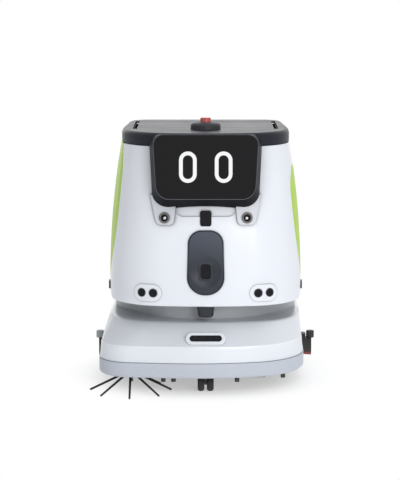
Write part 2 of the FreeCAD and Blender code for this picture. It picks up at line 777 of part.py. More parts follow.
def make_body_shells():
    skin = BODY.makeFillet(BODY_EDGE_R, edges_at(BODY, BODY_Z)).cut(INSIDE)
    rear_room = block((-FAR, FAR), (SPLIT_Y, FAR), (0, FAR))
    front = skin.cut(rear_room)
    for side, name in ((1, "left"), (-1, "right")):
        front = front.cut(side_prism(panel_corners(side), side))
        save("side_panel_" + name, skin.common(side_prism(panel_corners(side), side, REVEAL)))
        front = front.cut(side_sensor_prism(side, SEAT)).cut(pod_prism(side, SEAT))
    cheek = prism(stadium(2 * CHEEK_HALF, CHEEK_HEIGHT), -THROUGH, THROUGH)
    cheek = on_front(cheek, 0, FRONT_CAMERA_Z + CHEEK_UP)
    front = front.cut(layer(cheek, CHEEK_DEPTH, CHEEK_DEPTH))
    for side in (1, -1):
        pad = prism(stadium(SONAR_PAD_WIDTH, SONAR_PAD_HEIGHT), -THROUGH, THROUGH)
        front = front.fuse(layer(on_front(pad, side * SONAR_X, SONAR_Z), SONAR_PAD_PROUD, WALL / 2))
    for x, z in sonar_places():
        front = front.cut(on_front(Part.makeCylinder(SONAR_R, 2 * THROUGH, V(0, 0, -THROUGH)), x, z))
    outline = rectangle(FRONT_CAMERA_WIDTH, FRONT_CAMERA_HEIGHT, FRONT_CAMERA_R)
    front = front.cut(on_front(prism(outline, -THROUGH, THROUGH, -SEAT), 0, FRONT_CAMERA_Z))
    front = front.cut(pill_prism(SEAT)).cut(on_screen(screen_block(SEAT)))
    save("front_shell", front)
    save("side_sensors", *[layer(side_sensor_prism(side), SIDE_SENSOR_PROUD, WALL) for side in (1, -1)])

    rear = skin.common(block((-FAR, FAR), (SPLIT_Y + REVEAL, FAR), (0, FAR)))
    spot = V(0, BODY_REAR, BODY_Z + SERVICE_RISE)
    outline = rectangle(SERVICE_WIDTH, SERVICE_HEIGHT, SERVICE_R)
    hole = placed(prism(outline, -THROUGH, THROUGH, -SEAT), spot, V(0, 1, 0), V(-1, 0, 0))
    save("rear_cover", rear.cut(hole))
    panel = prism(outline, -WALL, SERVICE_PROUD)
    for i in range(VENT_COUNT):
        y = (i - (VENT_COUNT - 1) / 2) * VENT_PITCH + SERVICE_HEIGHT / 5
        vent = prism(stadium(VENT_LENGTH, VENT_WIDTH), -THROUGH, THROUGH)
        panel = panel.cut(vent.translated(V(0, y, 0)))
    save("service_panel", placed(panel, spot, V(0, 1, 0), V(-1, 0, 0)))


def make_belly_and_scanner():
    slab = block((-FAR, FAR), (-FAR, FAR), (BODY_Z, BODY_Z + BELLY_T))
    save("belly_plate", slab.common(body_form(WALL + SEAT)))
    low = -LIDAR_DROP
    hollow_r = LIDAR_LOW_R - LIDAR_WALL
    top = V(0, LIDAR_Y, BODY_Z)
    profile = [(0, 0), (LIDAR_TOP_R, 0), (LIDAR_TOP_R, low / 4), (LIDAR_LOW_R, low), (0, low)]
    cup = turned(profile, top, V(0, 0, 1))
    cup = cup.makeFillet(LIDAR_EDGE_R, edges_at(cup, BODY_Z + low)[:1])
    cup = cup.cut(rod(top, top + V(0, 0, low + LIDAR_WALL), hollow_r))
    save("lidar_housing", cup)
    rotor_top = (low + LIDAR_WALL + ROTOR_HEIGHT) / 2
    rotor = Part.makeCylinder(ROTOR_R, ROTOR_HEIGHT, top + V(0, 0, rotor_top - ROTOR_HEIGHT))
    rotor = rotor.fuse(rod(top + V(0, 0, rotor_top - FREE), top + V(0, 0, -FREE), SPINDLE_R))
    flat = block((-ROTOR_R, ROTOR_R), (-ROTOR_R, ROTOR_FLAT - ROTOR_R), (-ROTOR_HEIGHT, 0))
    save("lidar_rotor", rotor.cut(flat.translated(top + V(0, 0, rotor_top))))


# Top frame, lid and emergency stop

LID_Z = DECK_Z - DECK_T
HINGE = V(0, LID_HINGE_Y, DECK_Z - DECK_T / 2)
LID_OPENING_X = (-LID_HALF - LID_GAP, LID_HALF + LID_GAP)
LID_OPENING_Y = (LID_FRONT_Y - LID_GAP, LID_HINGE_Y + DECK_T / 2 + LID_GAP)


def make_top():
    plan = body_corners(BODY_PLANS[-1])
    frame = prism(plan, RIM_Z, DECK_Z)
    frame = frame.makeFillet(RIM_R, edges_at(frame, DECK_Z))
    frame = frame.cut(prism(plan, RIM_Z, LID_Z, RIM_WALL))
    lip = prism(plan, BODY_TOP_Z - RIM_LIP, RIM_Z, WALL + SEAT)
    lip = lip.cut(prism(plan, BODY_TOP_Z - RIM_LIP, RIM_Z, RIM_WALL))
    slot_out = LID_HALF + LID_SLOT
    collar_x = (-slot_out - WELL_WALL, slot_out + WELL_WALL)
    collar_y = (LID_OPENING_Y[0] - WELL_WALL, LID_OPENING_Y[1] + WELL_WALL)
    collar = block(collar_x, collar_y, (DECK_Z - WELL_DEPTH, LID_Z))
    opening = block(LID_OPENING_X, LID_OPENING_Y, (DECK_Z - WELL_DEPTH, DECK_Z))
    frame = frame.fuse([lip, collar]).cut(opening)
    for side in (1, -1):
        x = sorted((side * LID_HALF, side * slot_out))
        around_x = (x[0] - WELL_WALL, x[1] + WELL_WALL)
        around_y = (SLOT_Y[0] - WELL_WALL, SLOT_Y[1] + WELL_WALL)
        trough = block(around_x, around_y, (DECK_Z - SLOT_DEPTH - WELL_WALL, LID_Z)).cut(opening)
        frame = frame.fuse(trough).cut(block(x, SLOT_Y, (DECK_Z - SLOT_DEPTH, DECK_Z), LID_SLOT / 3))
    pin_end = slot_out + WELL_WALL
    pin = rod(HINGE - V(pin_end, 0, 0), HINGE + V(pin_end, 0, 0), HINGE_PIN_R)
    frame = frame.cut(pin).cut(on_screen(screen_block(SEAT)))
    save("top_frame", frame.removeSplitter())
    save("lid_hinge_pin", pin)

    lid = block((-LID_HALF, LID_HALF), (LID_FRONT_Y, LID_HINGE_Y), (LID_Z, DECK_Z))
    lid = lid.fuse(rod(HINGE - V(LID_HALF, 0, 0), HINGE + V(LID_HALF, 0, 0), DECK_T / 2)).removeSplitter()
    cell_x = (2 * LID_HALF - LID_RIB) / LID_CELLS_ACROSS
    cell_y = (LID_HINGE_Y - DECK_T - LID_FRONT_Y - LID_RIB) / LID_CELLS_DEEP
    for i in range(LID_CELLS_ACROSS):
        for j in range(LID_CELLS_DEEP):
            x = LID_RIB - LID_HALF + i * cell_x
            y = LID_FRONT_Y + LID_RIB + j * cell_y
            far_x = x + cell_x - LID_RIB
            far_y = y + cell_y - LID_RIB
            lid = lid.cut(block((x, far_x), (y, far_y), (LID_Z, DECK_Z - LID_SKIN), LID_RIB))
    save("lid", lid.cut(rod(HINGE - V(LID_HALF, 0, 0), HINGE + V(LID_HALF, 0, 0), HINGE_PIN_R + RUN)))


def make_stop():
    foot = V(0, STOP_Y, DECK_Z)
    bore_low = STOP_BASE_HEIGHT + STOP_RISE - STOP_HEAD - STOP_TRAVEL - FREE
    bore_r = STOP_R + RUN
    base = turned(
        [(0, 0), (STOP_BASE_R, 0), (STOP_BASE_R, STOP_SIDE), (STOP_SHOULDER_R, STOP_SHOULDER),
         (STOP_TOP_R, STOP_BASE_HEIGHT), (bore_r, STOP_BASE_HEIGHT), (bore_r, bore_low), (0, bore_low)],
        foot, V(0, 0, 1))
    save("estop_base", base)
    top = STOP_BASE_HEIGHT + STOP_RISE
    head = Part.makeCylinder(STOP_R, STOP_HEAD, foot + V(0, 0, top - STOP_HEAD))
    save("estop_button", head.makeFillet(STOP_DOME_R, ring_edges(head, DECK_Z + top, 0, STOP_Y)))


# Inside the upper body

def make_inside():
    shelf = BODY_Z + BELLY_T
    clean_top = shelf + CLEAN_TANK_HEIGHT
    save("clean_water_tank", block((-TANK_HALF, TANK_HALF), TANK_Y, (shelf, clean_top), TANK_R))
    cap_z = LID_Z - CAP_ROOM - CAP_HEIGHT
    waste_top = cap_z - MOUTH_HEIGHT
    middle = V(0, sum(TANK_Y) / 2, waste_top)
    waste = block((-TANK_HALF, TANK_HALF), TANK_Y, (clean_top + TANK_GAP, waste_top), TANK_R)
    save("waste_water_tank", waste.fuse(rod(middle, middle + V(0, 0, MOUTH_HEIGHT), MOUTH_R)))
    cap_r = MOUTH_R + WELL_WALL
    cap = rod(middle + V(0, 0, MOUTH_HEIGHT), middle + V(0, 0, MOUTH_HEIGHT + CAP_HEIGHT), cap_r)
    for side in (1, -1):
        x = sorted((side * CAP_GRIP / 2, side * CAP_DISH))
        y = (middle.y - CAP_DISH, middle.y + CAP_DISH)
        cap = cap.cut(block(x, y, (cap_z + CAP_FLOOR, FAR), CAP_GRIP))
    save("waste_tank_cap", cap)
    foot = V(VACUUM_X, VACUUM_Y, shelf)
    neck = VACUUM_HEIGHT / 4
    vacuum = turned(
        [(0, 0), (VACUUM_R, 0), (VACUUM_R, neck), (VACUUM_NECK_R, neck), (VACUUM_NECK_R, 2 * neck),
         (VACUUM_R, 2 * neck), (VACUUM_R, 3 * neck), (VACUUM_CAP_R, 4 * neck), (0, 4 * neck)],
        foot, V(0, 0, 1))
    save("vacuum_motor", vacuum)
    wide, deep, tall = PUMP_SIZE
    x = (PUMP_X - wide / 2, PUMP_X + wide / 2)
    y = (PUMP_Y - deep / 2, PUMP_Y + deep / 2)
    pump = block(x, y, (shelf, shelf + tall), PUMP_EDGE_R)
    head = V(PUMP_X - wide / 2, PUMP_Y, shelf + tall / 2)
    save("water_pump", pump.fuse(rod(head, head - V(PUMP_HEAD_R, 0, 0), PUMP_HEAD_R)))
    floor = PLATE_Z + PLATE_T
    battery_top = floor + BATTERY_HEIGHT
    battery = block((-BATTERY_HALF, BATTERY_HALF), BATTERY_Y, (floor, battery_top), BATTERY_EDGE_R)
    wide, deep, sunk = GRIP_SIZE
    grip = prism(stadium(wide, deep), battery_top - sunk, FAR).translated(V(0, sum(BATTERY_Y) / 2, 0))
    save("battery_pack", battery.cut(grip))


# Base, waist and bumper

def base_corners():
    return [
        (0.0, -BASE_FRONT, BASE_FRONT_R),
        (BASE_LEFT - BASE_LEFT_IN, BASE_LEFT_CORNER_Y, BASE_LEFT_CORNER_R),
        (BASE_LEFT, BASE_LEFT_Y, BASE_LEFT_R),
        (BASE_REAR_HALF, BODY_REAR, BODY_REAR_R),
        (-BASE_REAR_HALF, BODY_REAR, BODY_REAR_R),
        (BASE_RIGHT_IN - BASE_RIGHT, BASE_RIGHT_Y, BASE_RIGHT_R),
        (-BASE_RIGHT, BASE_RIGHT_CORNER_Y, BASE_RIGHT_CORNER_R),
    ]


def nose_corners():
    corner_x = NOSE_HALF - NOSE_CORNER_IN
    corner_y = NOSE_CORNER_BACK - NOSE_FRONT
    return [
        (0.0, -NOSE_FRONT, NOSE_FRONT_R),
        (corner_x, corner_y, NOSE_CORNER_R),
        (NOSE_HALF, BASE_LEFT_Y, BASE_LEFT_R),
        (BASE_REAR_HALF, BODY_REAR, BODY_REAR_R),
        (-BASE_REAR_HALF, BODY_REAR, BODY_REAR_R),
        (-NOSE_HALF, BASE_RIGHT_Y, BASE_RIGHT_R),
        (-corner_x, corner_y, NOSE_CORNER_R),
    ]


def waist_corners():
    half = [
        (WAIST_SHOULDER_X, WAIST_SHOULDER_Y, WAIST_SHOULDER_R),
        (WAIST_HALF, WAIST_SIDE_Y, WAIST_SIDE_R),
        (WAIST_HALF - WAIST_REAR_IN, BODY_REAR - WAIST_REAR_IN, BODY_REAR_R - WAIST_REAR_IN),
    ]
    other = [(-x, y, r) for x, y, r in reversed(half)]
    return [(0.0, -WAIST_FRONT, WAIST_FRONT_R)] + half + other


def base_section(z, share, inset):
    """Outline between the base's plan, share 0, and the plan of the nose's upper edge, share 1."""
    corners = []
    for low, high in zip(base_corners(), nose_corners()):
        corners.append([a + (b - a) * share for a, b in zip(low, high)])
    lean = BASE_TAPER * min(1.0, (z - BASE_Z) / BASE_FRONT_HEIGHT) * (1.0 - share)
    return rounded_wire(corners, z, inset + lean)


def base_form(inset=0.0, crease=CREASE_Z, high=NOSE_Z):
    """Upright band, rounded crease and sloping nose with its rounded upper edge, shrunk by inset."""
    rise = high - crease
    slope = math.atan2(rise, BASE_FRONT - BASE_TAPER - NOSE_FRONT)
    before = crease - CREASE_REACH
    after = crease + CREASE_REACH * math.sin(slope)
    wires = [base_section(BASE_Z, 0.0, inset)]
    for i in range(CREASE_STEPS + 1):
        k = i / CREASE_STEPS
        z = (1 - k) ** 2 * before + 2 * k * (1 - k) * crease + k ** 2 * after
        share = k ** 2 * (after - crease) / rise
        wires.append(base_section(z, share, inset))
    drop = NOSE_EDGE_REACH * math.sin(slope)
    for i in range(NOSE_EDGE_STEPS + 1):
        k = i / NOSE_EDGE_STEPS
        below = (1 - k) ** 2 * drop
        wires.append(base_section(high - below, 1.0 - below / rise, inset + k ** 2 * NOSE_EDGE_REACH))
    return Part.makeLoft(wires, True, True)


def boss_spots():
    side_y = WHEEL_Y - WHEEL_R - WHEEL_ROOM - 2 * BOSS_R
    rear_y = PLATE_REAR_Y - 2 * BOSS_R
    side_x = BASE_LEFT - BOSS_SIDE_IN
    rear_x = BASE_LEFT - BOSS_REAR_IN
    return BOSS_FRONT + [(side_x, side_y), (-side_x, side_y), (rear_x, rear_y), (-rear_x, rear_y)]


NOSE_SENSOR_FACING = V(0, -math.cos(math.radians(NOSE_SENSOR_TILT)), math.sin(math.radians(NOSE_SENSOR_TILT)))
NOSE_SENSOR_SPOT = V(
    0, BASE_TAPER - BASE_FRONT + NOSE_SENSOR_RISE / NOSE_RISE * (BASE_FRONT - BASE_TAPER - NOSE_FRONT),
    CREASE_Z + NOSE_SENSOR_RISE)


def on_nose(shape):
    return placed(shape, NOSE_SENSOR_SPOT, NOSE_SENSOR_FACING)


def make_base():
    outer = base_form()
    shell = outer.cut(base_form(WALL, CREASE_Z - WALL / 2, NOSE_Z - WALL))
    opening = block((-BASE_OPENING_HALF, BASE_OPENING_HALF), BASE_OPENING_Y, (BASE_Z, FAR), BASE_OPENING_R)
    shell = shell.cut(opening)
    bosses = [rod(V(x, y, PLATE_Z + PLATE_T), V(x, y, NOSE_Z - WALL), BOSS_R) for x, y in boss_spots()]
    shell = shell.fuse(bosses)
    shell = shell.cut(on_nose(prism(stadium(*NOSE_SENSOR_FRAME), -THROUGH, THROUGH, -SEAT)))
    save("base_shell", shell)
    frame = prism(stadium(*NOSE_SENSOR_FRAME), -NOSE_SENSOR_DEPTH, NOSE_SENSOR_PROUD)
    frame = frame.makeFillet(NOSE_SENSOR_EDGE_R, edges_at(frame, NOSE_SENSOR_PROUD))
    slot = prism(stadium(*NOSE_SENSOR_SLOT), -THROUGH, THROUGH)
    save("depth_sensor_frame", on_nose(frame.cut(slot)))
    glass = prism(stadium(*NOSE_SENSOR_SLOT), -NOSE_SENSOR_DEPTH, NOSE_SENSOR_PROUD - NOSE_WINDOW_SUNK)
    waist = prism(waist_corners(), NOSE_Z, BODY_Z).cut(prism(waist_corners(), NOSE_Z, BODY_Z, WALL))
    save("waist_core", waist)
    contacts = []
    wide, thick, tall = CONTACT_SIZE
    for side in (1, -1):
        x = (side * CONTACT_X - wide / 2, side * CONTACT_X + wide / 2)
        lean = BASE_TAPER * (CONTACT_Z - tall / 2 - BASE_Z) / BASE_FRONT_HEIGHT
        y = (BODY_REAR - lean - WALL / 2, BODY_REAR + thick)
        contacts.append(block(x, y, (CONTACT_Z - tall / 2, CONTACT_Z + tall / 2)).cut(outer))
    save("charge_contacts", *contacts)
    return on_nose(glass)


def make_bumper():
    top = BASE_Z - SEAM_GAP
    bumper = prism(base_corners(), FLOOR_GAP, top, -BUMPER_PROUD)
    bumper = bumper.makeFillet(BUMPER_EDGE_R, edges_at(bumper, FLOOR_GAP))
    inner = BUMPER_WALL - BUMPER_PROUD
    bumper = bumper.cut(prism(base_corners(), FLOOR_GAP, top, inner))
    bumper = bumper.cut(block((-FAR, FAR), (BUMPER_END_Y, FAR), (0, top)))
    inside = prism(base_corners(), FLOOR_GAP, top, inner / 2)
    half = GUIDE_LUG / 2
    middle = (FLOOR_GAP + PLATE_Z) / 2
    for side in (1, -1):
        x = (side * GUIDE_X - half, side * GUIDE_X + half)
        lug = block(x, (-BASE_FRONT, GUIDE_LUG_Y), (middle - half, middle + half)).common(inside)
        deep = GUIDE_LUG_Y - GUIDE_HOLD - BUMPER_TRAVEL - 4 * FREE
        hole = rod(V(side * GUIDE_X, deep, middle), V(side * GUIDE_X, GUIDE_LUG_Y, middle), GUIDE_PIN_R + RUN)
        bumper = bumper.fuse(lug).cut(hole)
    save("bumper", bumper)


def guide_solids():
    """Block and pin under the chassis plate that carry the bumper."""
    half = GUIDE_LUG / 2
    middle = (FLOOR_GAP + PLATE_Z) / 2
    front = GUIDE_LUG_Y + BUMPER_TRAVEL + 10 * FREE
    solids = []
    for side in (1, -1):
        x = (side * GUIDE_X - half, side * GUIDE_X + half)
        hold = block(x, (front, front + GUIDE_BLOCK_T), (middle - half, PLATE_Z))
        tip = V(side * GUIDE_X, GUIDE_LUG_Y - GUIDE_HOLD, middle)
        solids.append(hold.fuse(rod(tip, V(side * GUIDE_X, front + GUIDE_BLOCK_T / 2, middle), GUIDE_PIN_R)))
    return solids


# Chassis and wheels

def make_chassis():
    plate_top = PLATE_Z + PLATE_T
    plate = prism(base_corners(), PLATE_Z, plate_top, PLATE_INSET)
    plate = plate.cut(block((-FAR, FAR), (PLATE_REAR_Y, FAR), (0, plate_top)))
    reach = WHEEL_R + WHEEL_ROOM
    half = WHEEL_WIDTH / 2 + WHEEL_ROOM
    for side in (1, -1):
        x = (side * WHEEL_X - half, side * WHEEL_X + half)
        plate = plate.cut(block(x, (WHEEL_Y - reach, WHEEL_Y + reach), (PLATE_Z, plate_top), PLATE_HOLE_R))
        axle = V(side * WHEEL_X, WHEEL_Y, WHEEL_R)
        plate = plate.cut(rod(axle, axle - V(side * 2 * half, 0, 0), AXLE_R + SEAT))
    room = TUNNEL_R + TUNNEL_T + TUNNEL_ROOM
    wide = TUNNEL_HALF + TUNNEL_ROOM
    tunnel = block((-wide, wide), (ROLLER_Y - room, ROLLER_Y + room), (PLATE_Z, plate_top), PLATE_HOLE_R)
    shaft = V(SIDE_BRUSH_X, SIDE_BRUSH_Y, PLATE_Z)
    plate = plate.cut(tunnel).cut(rod(shaft, shaft + V(0, 0, PLATE_T), 2 * SIDE_SHAFT_R))
    rod_top = plate_top + EAR_UP + EAR_T + DECK_LIFT + ROD_SPARE
    rods = [rod(V(side * ROD_X, ROD_Y, PLATE_Z), V(side * ROD_X, ROD_Y, rod_top), ROD_R) for side in (1, -1)]
    save("chassis_plate", plate.fuse(rods + guide_solids()))
    profile = [(0, PLATE_Z), (CLIFF_FOOT_R, PLATE_Z), (CLIFF_FOOT_R, PLATE_Z - CLIFF_FOOT),
               (CLIFF_R, PLATE_Z - 2 * CLIFF_FOOT), (CLIFF_R, CLIFF_Z), (0, CLIFF_Z)]
    save("cliff_sensors", *[turned(profile, V(x, y, 0), V(0, 0, 1)) for x, y in CLIFF_SPOTS])


def tyre_profile(outer, inner, width, round_r):
    """Half section of a tyre with rounded shoulders, as a face in the XZ plane, turned about X."""
    half = width / 2
    corners = [(-half, inner, 0), (half, inner, 0), (half, outer, round_r), (-half, outer, round_r)]
    face = Part.Face(rounded_wire(corners))
    face.Placement = FreeCAD.Placement(V(0, 0, 0), FreeCAD.Rotation(V(1, 0, 0), 90))
    return face.revolve(V(0, 0, 0), V(1, 0, 0), 360)


def make_drive_wheels():
    floor = PLATE_Z + PLATE_T
    tyre = tyre_profile(WHEEL_R, HUB_R, WHEEL_WIDTH, TYRE_EDGE_R)
    half = WHEEL_WIDTH / 2 - HUB_IN
    hub = rod(V(-half, 0, 0), V(half, 0, 0), HUB_R)
    axle_reach = half - 2 * HUB_DISH
    hub = hub.cut(rod(V(half - HUB_DISH, 0, 0), V(half, 0, 0), HUB_R - HUB_DISH))
    hub = hub.fuse(rod(V(axle_reach, 0, 0), V(half, 0, 0), HUB_CAP_R))
    for i in range(HUB_POCKETS):
        angle = 2 * math.pi * i / HUB_POCKETS
        spot = V(axle_reach, HUB_POCKET_REACH * math.cos(angle), HUB_POCKET_REACH * math.sin(angle))
        hub = hub.cut(rod(spot, spot + V(2 * HUB_DISH, 0, 0), HUB_POCKET_R))
    hub = hub.cut(rod(V(-half, 0, 0), V(axle_reach, 0, 0), AXLE_R + RUN))
    centre = V(WHEEL_X, WHEEL_Y, WHEEL_R)
    hub = hub.translated(centre)
    tyre = tyre.translated(centre)
    outer_x = WHEEL_X - WHEEL_WIDTH / 2 - WHEEL_ROOM - HUB_IN
    inner_x = outer_x - BRACKET_T
    y = (WHEEL_Y - BRACKET_HALF, WHEEL_Y + BRACKET_HALF)
    upright = block((inner_x, outer_x), y, (floor, floor + BRACKET_RISE))
    foot = block((outer_x - BRACKET_FOOT, outer_x), y, (floor, floor + BRACKET_T))
    axle_end = WHEEL_X + axle_reach - FREE
    bracket = upright.fuse([foot, rod(V(inner_x, WHEEL_Y, WHEEL_R), V(axle_end, WHEEL_Y, WHEEL_R), AXLE_R)])
    save("drive_hub_left", hub)
    save("drive_tyre_left", tyre)
    save("drive_hub_right", mirrored(hub))
    save("drive_tyre_right", mirrored(tyre))
    bearing = rod(V(0, CASTER_Y, PLATE_Z - CASTER_BEARING_T), V(0, CASTER_Y, PLATE_Z), CASTER_BEARING_R)
    bearing = bearing.makeFillet(BEARING_EDGE_R, ring_edges(bearing, PLATE_Z - CASTER_BEARING_T, 0, CASTER_Y))
    bearing = bearing.cut(rod(V(0, CASTER_Y, 0), V(0, CASTER_Y, PLATE_Z), CASTER_STEM_R + RUN))
    save("wheel_mounts", bracket, mirrored(bracket), bearing)


def make_caster():
    head_top = PLATE_Z - CASTER_BEARING_T - FREE
    head_low = head_top - CASTER_HEAD_T
    axle = V(0, CASTER_Y + CASTER_TRAIL, CASTER_R)
    head = rod(V(0, CASTER_Y, head_low), V(0, CASTER_Y, head_top), CASTER_HEAD_R)
    stem = rod(V(0, CASTER_Y, head_top), V(0, CASTER_Y, PLATE_Z - FREE), CASTER_STEM_R)
    web_z = (head_low + head_top) / 2
    round_r = CASTER_WEB_HALF * NEARLY
    outline = [
        (CASTER_Y - CASTER_WEB_FRONT, web_z, 0),
        (axle.y - CASTER_WEB_HALF, axle.z - CASTER_WEB_HALF, round_r),
        (axle.y + CASTER_WEB_HALF, axle.z - CASTER_WEB_HALF, round_r),
        (CASTER_Y + CASTER_WEB_REAR, web_z, 0),
    ]
    web = prism(outline, -CASTER_WEB / 2, CASTER_WEB / 2)
    web.Placement = FreeCAD.Placement(V(0, 0, 0), ACROSS)
    end = CASTER_WEB / 2 + FREE + CASTER_WIDTH
    pin = rod(axle - V(end, 0, 0), axle + V(end, 0, 0), CASTER_AXLE_R)
    save("caster_fork", head.fuse([stem, web, pin]))
    wheel = tyre_profile(CASTER_R, CASTER_AXLE_R + RUN, CASTER_WIDTH, TYRE_EDGE_R)
    middle = CASTER_WEB / 2 + FREE + CASTER_WIDTH / 2
    wheel = wheel.translated(axle + V(middle, 0, 0))
    save("caster_wheel_left", wheel)
    save("caster_wheel_right", mirrored(wheel))


# Side brush

def make_side_brush():
    foot = V(SIDE_BRUSH_X, SIDE_BRUSH_Y, 0)
    tufts = []
    for i in range(TUFT_COUNT):
        angle = math.radians(TUFT_FIRST + 360.0 * i / TUFT_COUNT)
        out = V(math.cos(angle), math.sin(angle), 0)
        root = foot + out * TUFT_ROOT_REACH + V(0, 0, SIDE_HUB_Z + TUFT_ROOT_R)
        tip = foot + out * TUFT_TIP_REACH + V(0, 0, TUFT_TIP_Z)
        tufts.append(Part.makeCone(TUFT_ROOT_R, TUFT_TIP_R, (tip - root).Length, root, tip - root))
    save("side_brush_bristles", *tufts)
    plate_top = PLATE_Z + PLATE_T
    hub_top = SIDE_HUB_Z + SIDE_HUB_T
    shaft_top = plate_top + SIDE_SHAFT_GRIP
    edge = SIDE_HUB_T / 3
    hub = turned(
        [(0, SIDE_HUB_Z), (SIDE_HUB_R - edge, SIDE_HUB_Z), (SIDE_HUB_R, SIDE_HUB_Z + edge),
         (SIDE_HUB_R, hub_top - edge), (2 * SIDE_SHAFT_R, hub_top), (SIDE_SHAFT_R, hub_top),
         (SIDE_SHAFT_R, shaft_top), (0, shaft_top)], foot, V(0, 0, 1))
    save("side_brush_hub", hub.cut(Part.makeCompound(tufts)))
    bore_top = shaft_top + FREE
    bore = SIDE_SHAFT_R + RUN
    motor = turned(
        [(bore, plate_top), (SIDE_FLANGE_R, plate_top), (SIDE_FLANGE_R, plate_top + SIDE_FLANGE_T),
         (SIDE_MOTOR_R, plate_top + SIDE_FLANGE_T), (SIDE_MOTOR_R, plate_top + SIDE_MOTOR_HEIGHT),
         (0, plate_top + SIDE_MOTOR_HEIGHT), (0, bore_top), (bore, bore_top)], foot, V(0, 0, 1))
    save("side_brush_motor", motor)


# Scrubbing roller

def make_roller():
    z = ROLLER_R + ROLLER_CLEAR
    axis = V(0, ROLLER_Y, z)
    along = V(1, 0, 0)
    end = TUNNEL_HALF - TUNNEL_END_T
    core = rod(axis - along * ROLLER_HALF, axis + along * ROLLER_HALF, ROLLER_CORE_R)
    journal_end = TUNNEL_HALF - FREE
    save("roller_core", core.fuse(rod(axis - along * journal_end, axis + along * journal_end, JOURNAL_R)))
    bristles = rod(axis - along * ROLLER_HALF, axis + along * ROLLER_HALF, ROLLER_R)
    save("roller_bristles", bristles.cut(core))
    outer_r = TUNNEL_R + TUNNEL_T
    low = z - TUNNEL_SKIRT
    outer = rod(axis - along * TUNNEL_HALF, axis + along * TUNNEL_HALF, outer_r)
    outer = outer.common(block((-FAR, FAR), (-FAR, FAR), (z, FAR)))
    skirt = block((-TUNNEL_HALF, TUNNEL_HALF), (ROLLER_Y - outer_r, ROLLER_Y + outer_r), (low, z))
    outer = outer.fuse(skirt)
    inner = rod(axis - along * end, axis + along * end, TUNNEL_R)
    room = block((-end, end), (ROLLER_Y - TUNNEL_R, ROLLER_Y + TUNNEL_R), (low, z))
    deck = outer.cut(inner.fuse(room))
    ear_z = PLATE_Z + PLATE_T + EAR_UP
    for side in (1, -1):
        x = (side * ROD_X - EAR_HALF, side * ROD_X + EAR_HALF)
        ear = block(x, (ROD_Y - EAR_HALF, ROLLER_Y - TUNNEL_R / 2), (ear_z, ear_z + EAR_T)).cut(inner)
        hole = rod(V(side * ROD_X, ROD_Y, ear_z), V(side * ROD_X, ROD_Y, ear_z + EAR_T), ROD_R + RUN)
        deck = deck.fuse(ear).cut(hole)
    deck = deck.cut(rod(axis - along * TUNNEL_HALF, axis + along * TUNNEL_HALF, JOURNAL_R + RUN))
    save("brush_deck", deck)
    drive = axis + V(0, 0, outer_r + DRIVE_R - DRIVE_SUNK)
    can = rod(drive - along * DRIVE_HALF, drive + along * DRIVE_HALF, DRIVE_R)
    cradle_y = (ROLLER_Y - CRADLE_HALF, ROLLER_Y + CRADLE_HALF)
    cradle = block((-CRADLE_LENGTH / 2, CRADLE_LENGTH / 2), cradle_y, (z, drive.z))
    save("brush_motor", can.fuse(cradle).cut(outer))


# Squeegee

SQUEEGEE_SAG = SQUEEGEE_MID_Y - SQUEEGEE_END_Y
SQUEEGEE_R = (SQUEEGEE_HALF ** 2 + SQUEEGEE_SAG ** 2) / (2 * SQUEEGEE_SAG)
END_ROLLER_X = SQUEEGEE_HALF - END_ROLLER_IN
ARM_Z = PIVOT_Z - ARM_T / 2


def squeegee_band(near, far, z0, z1, half=SQUEEGEE_HALF):
    """Strip that follows the squeegee's curve, between two distances from its middle line."""
    centre = V(0, SQUEEGEE_MID_Y - SQUEEGEE_R, z0)
    band = Part.makeCylinder(SQUEEGEE_R + far, z1 - z0, centre)
    band = band.cut(Part.makeCylinder(SQUEEGEE_R + near, z1 - z0, centre))
    return band.common(block((-half, half), (0, FAR), (z0, z1)))


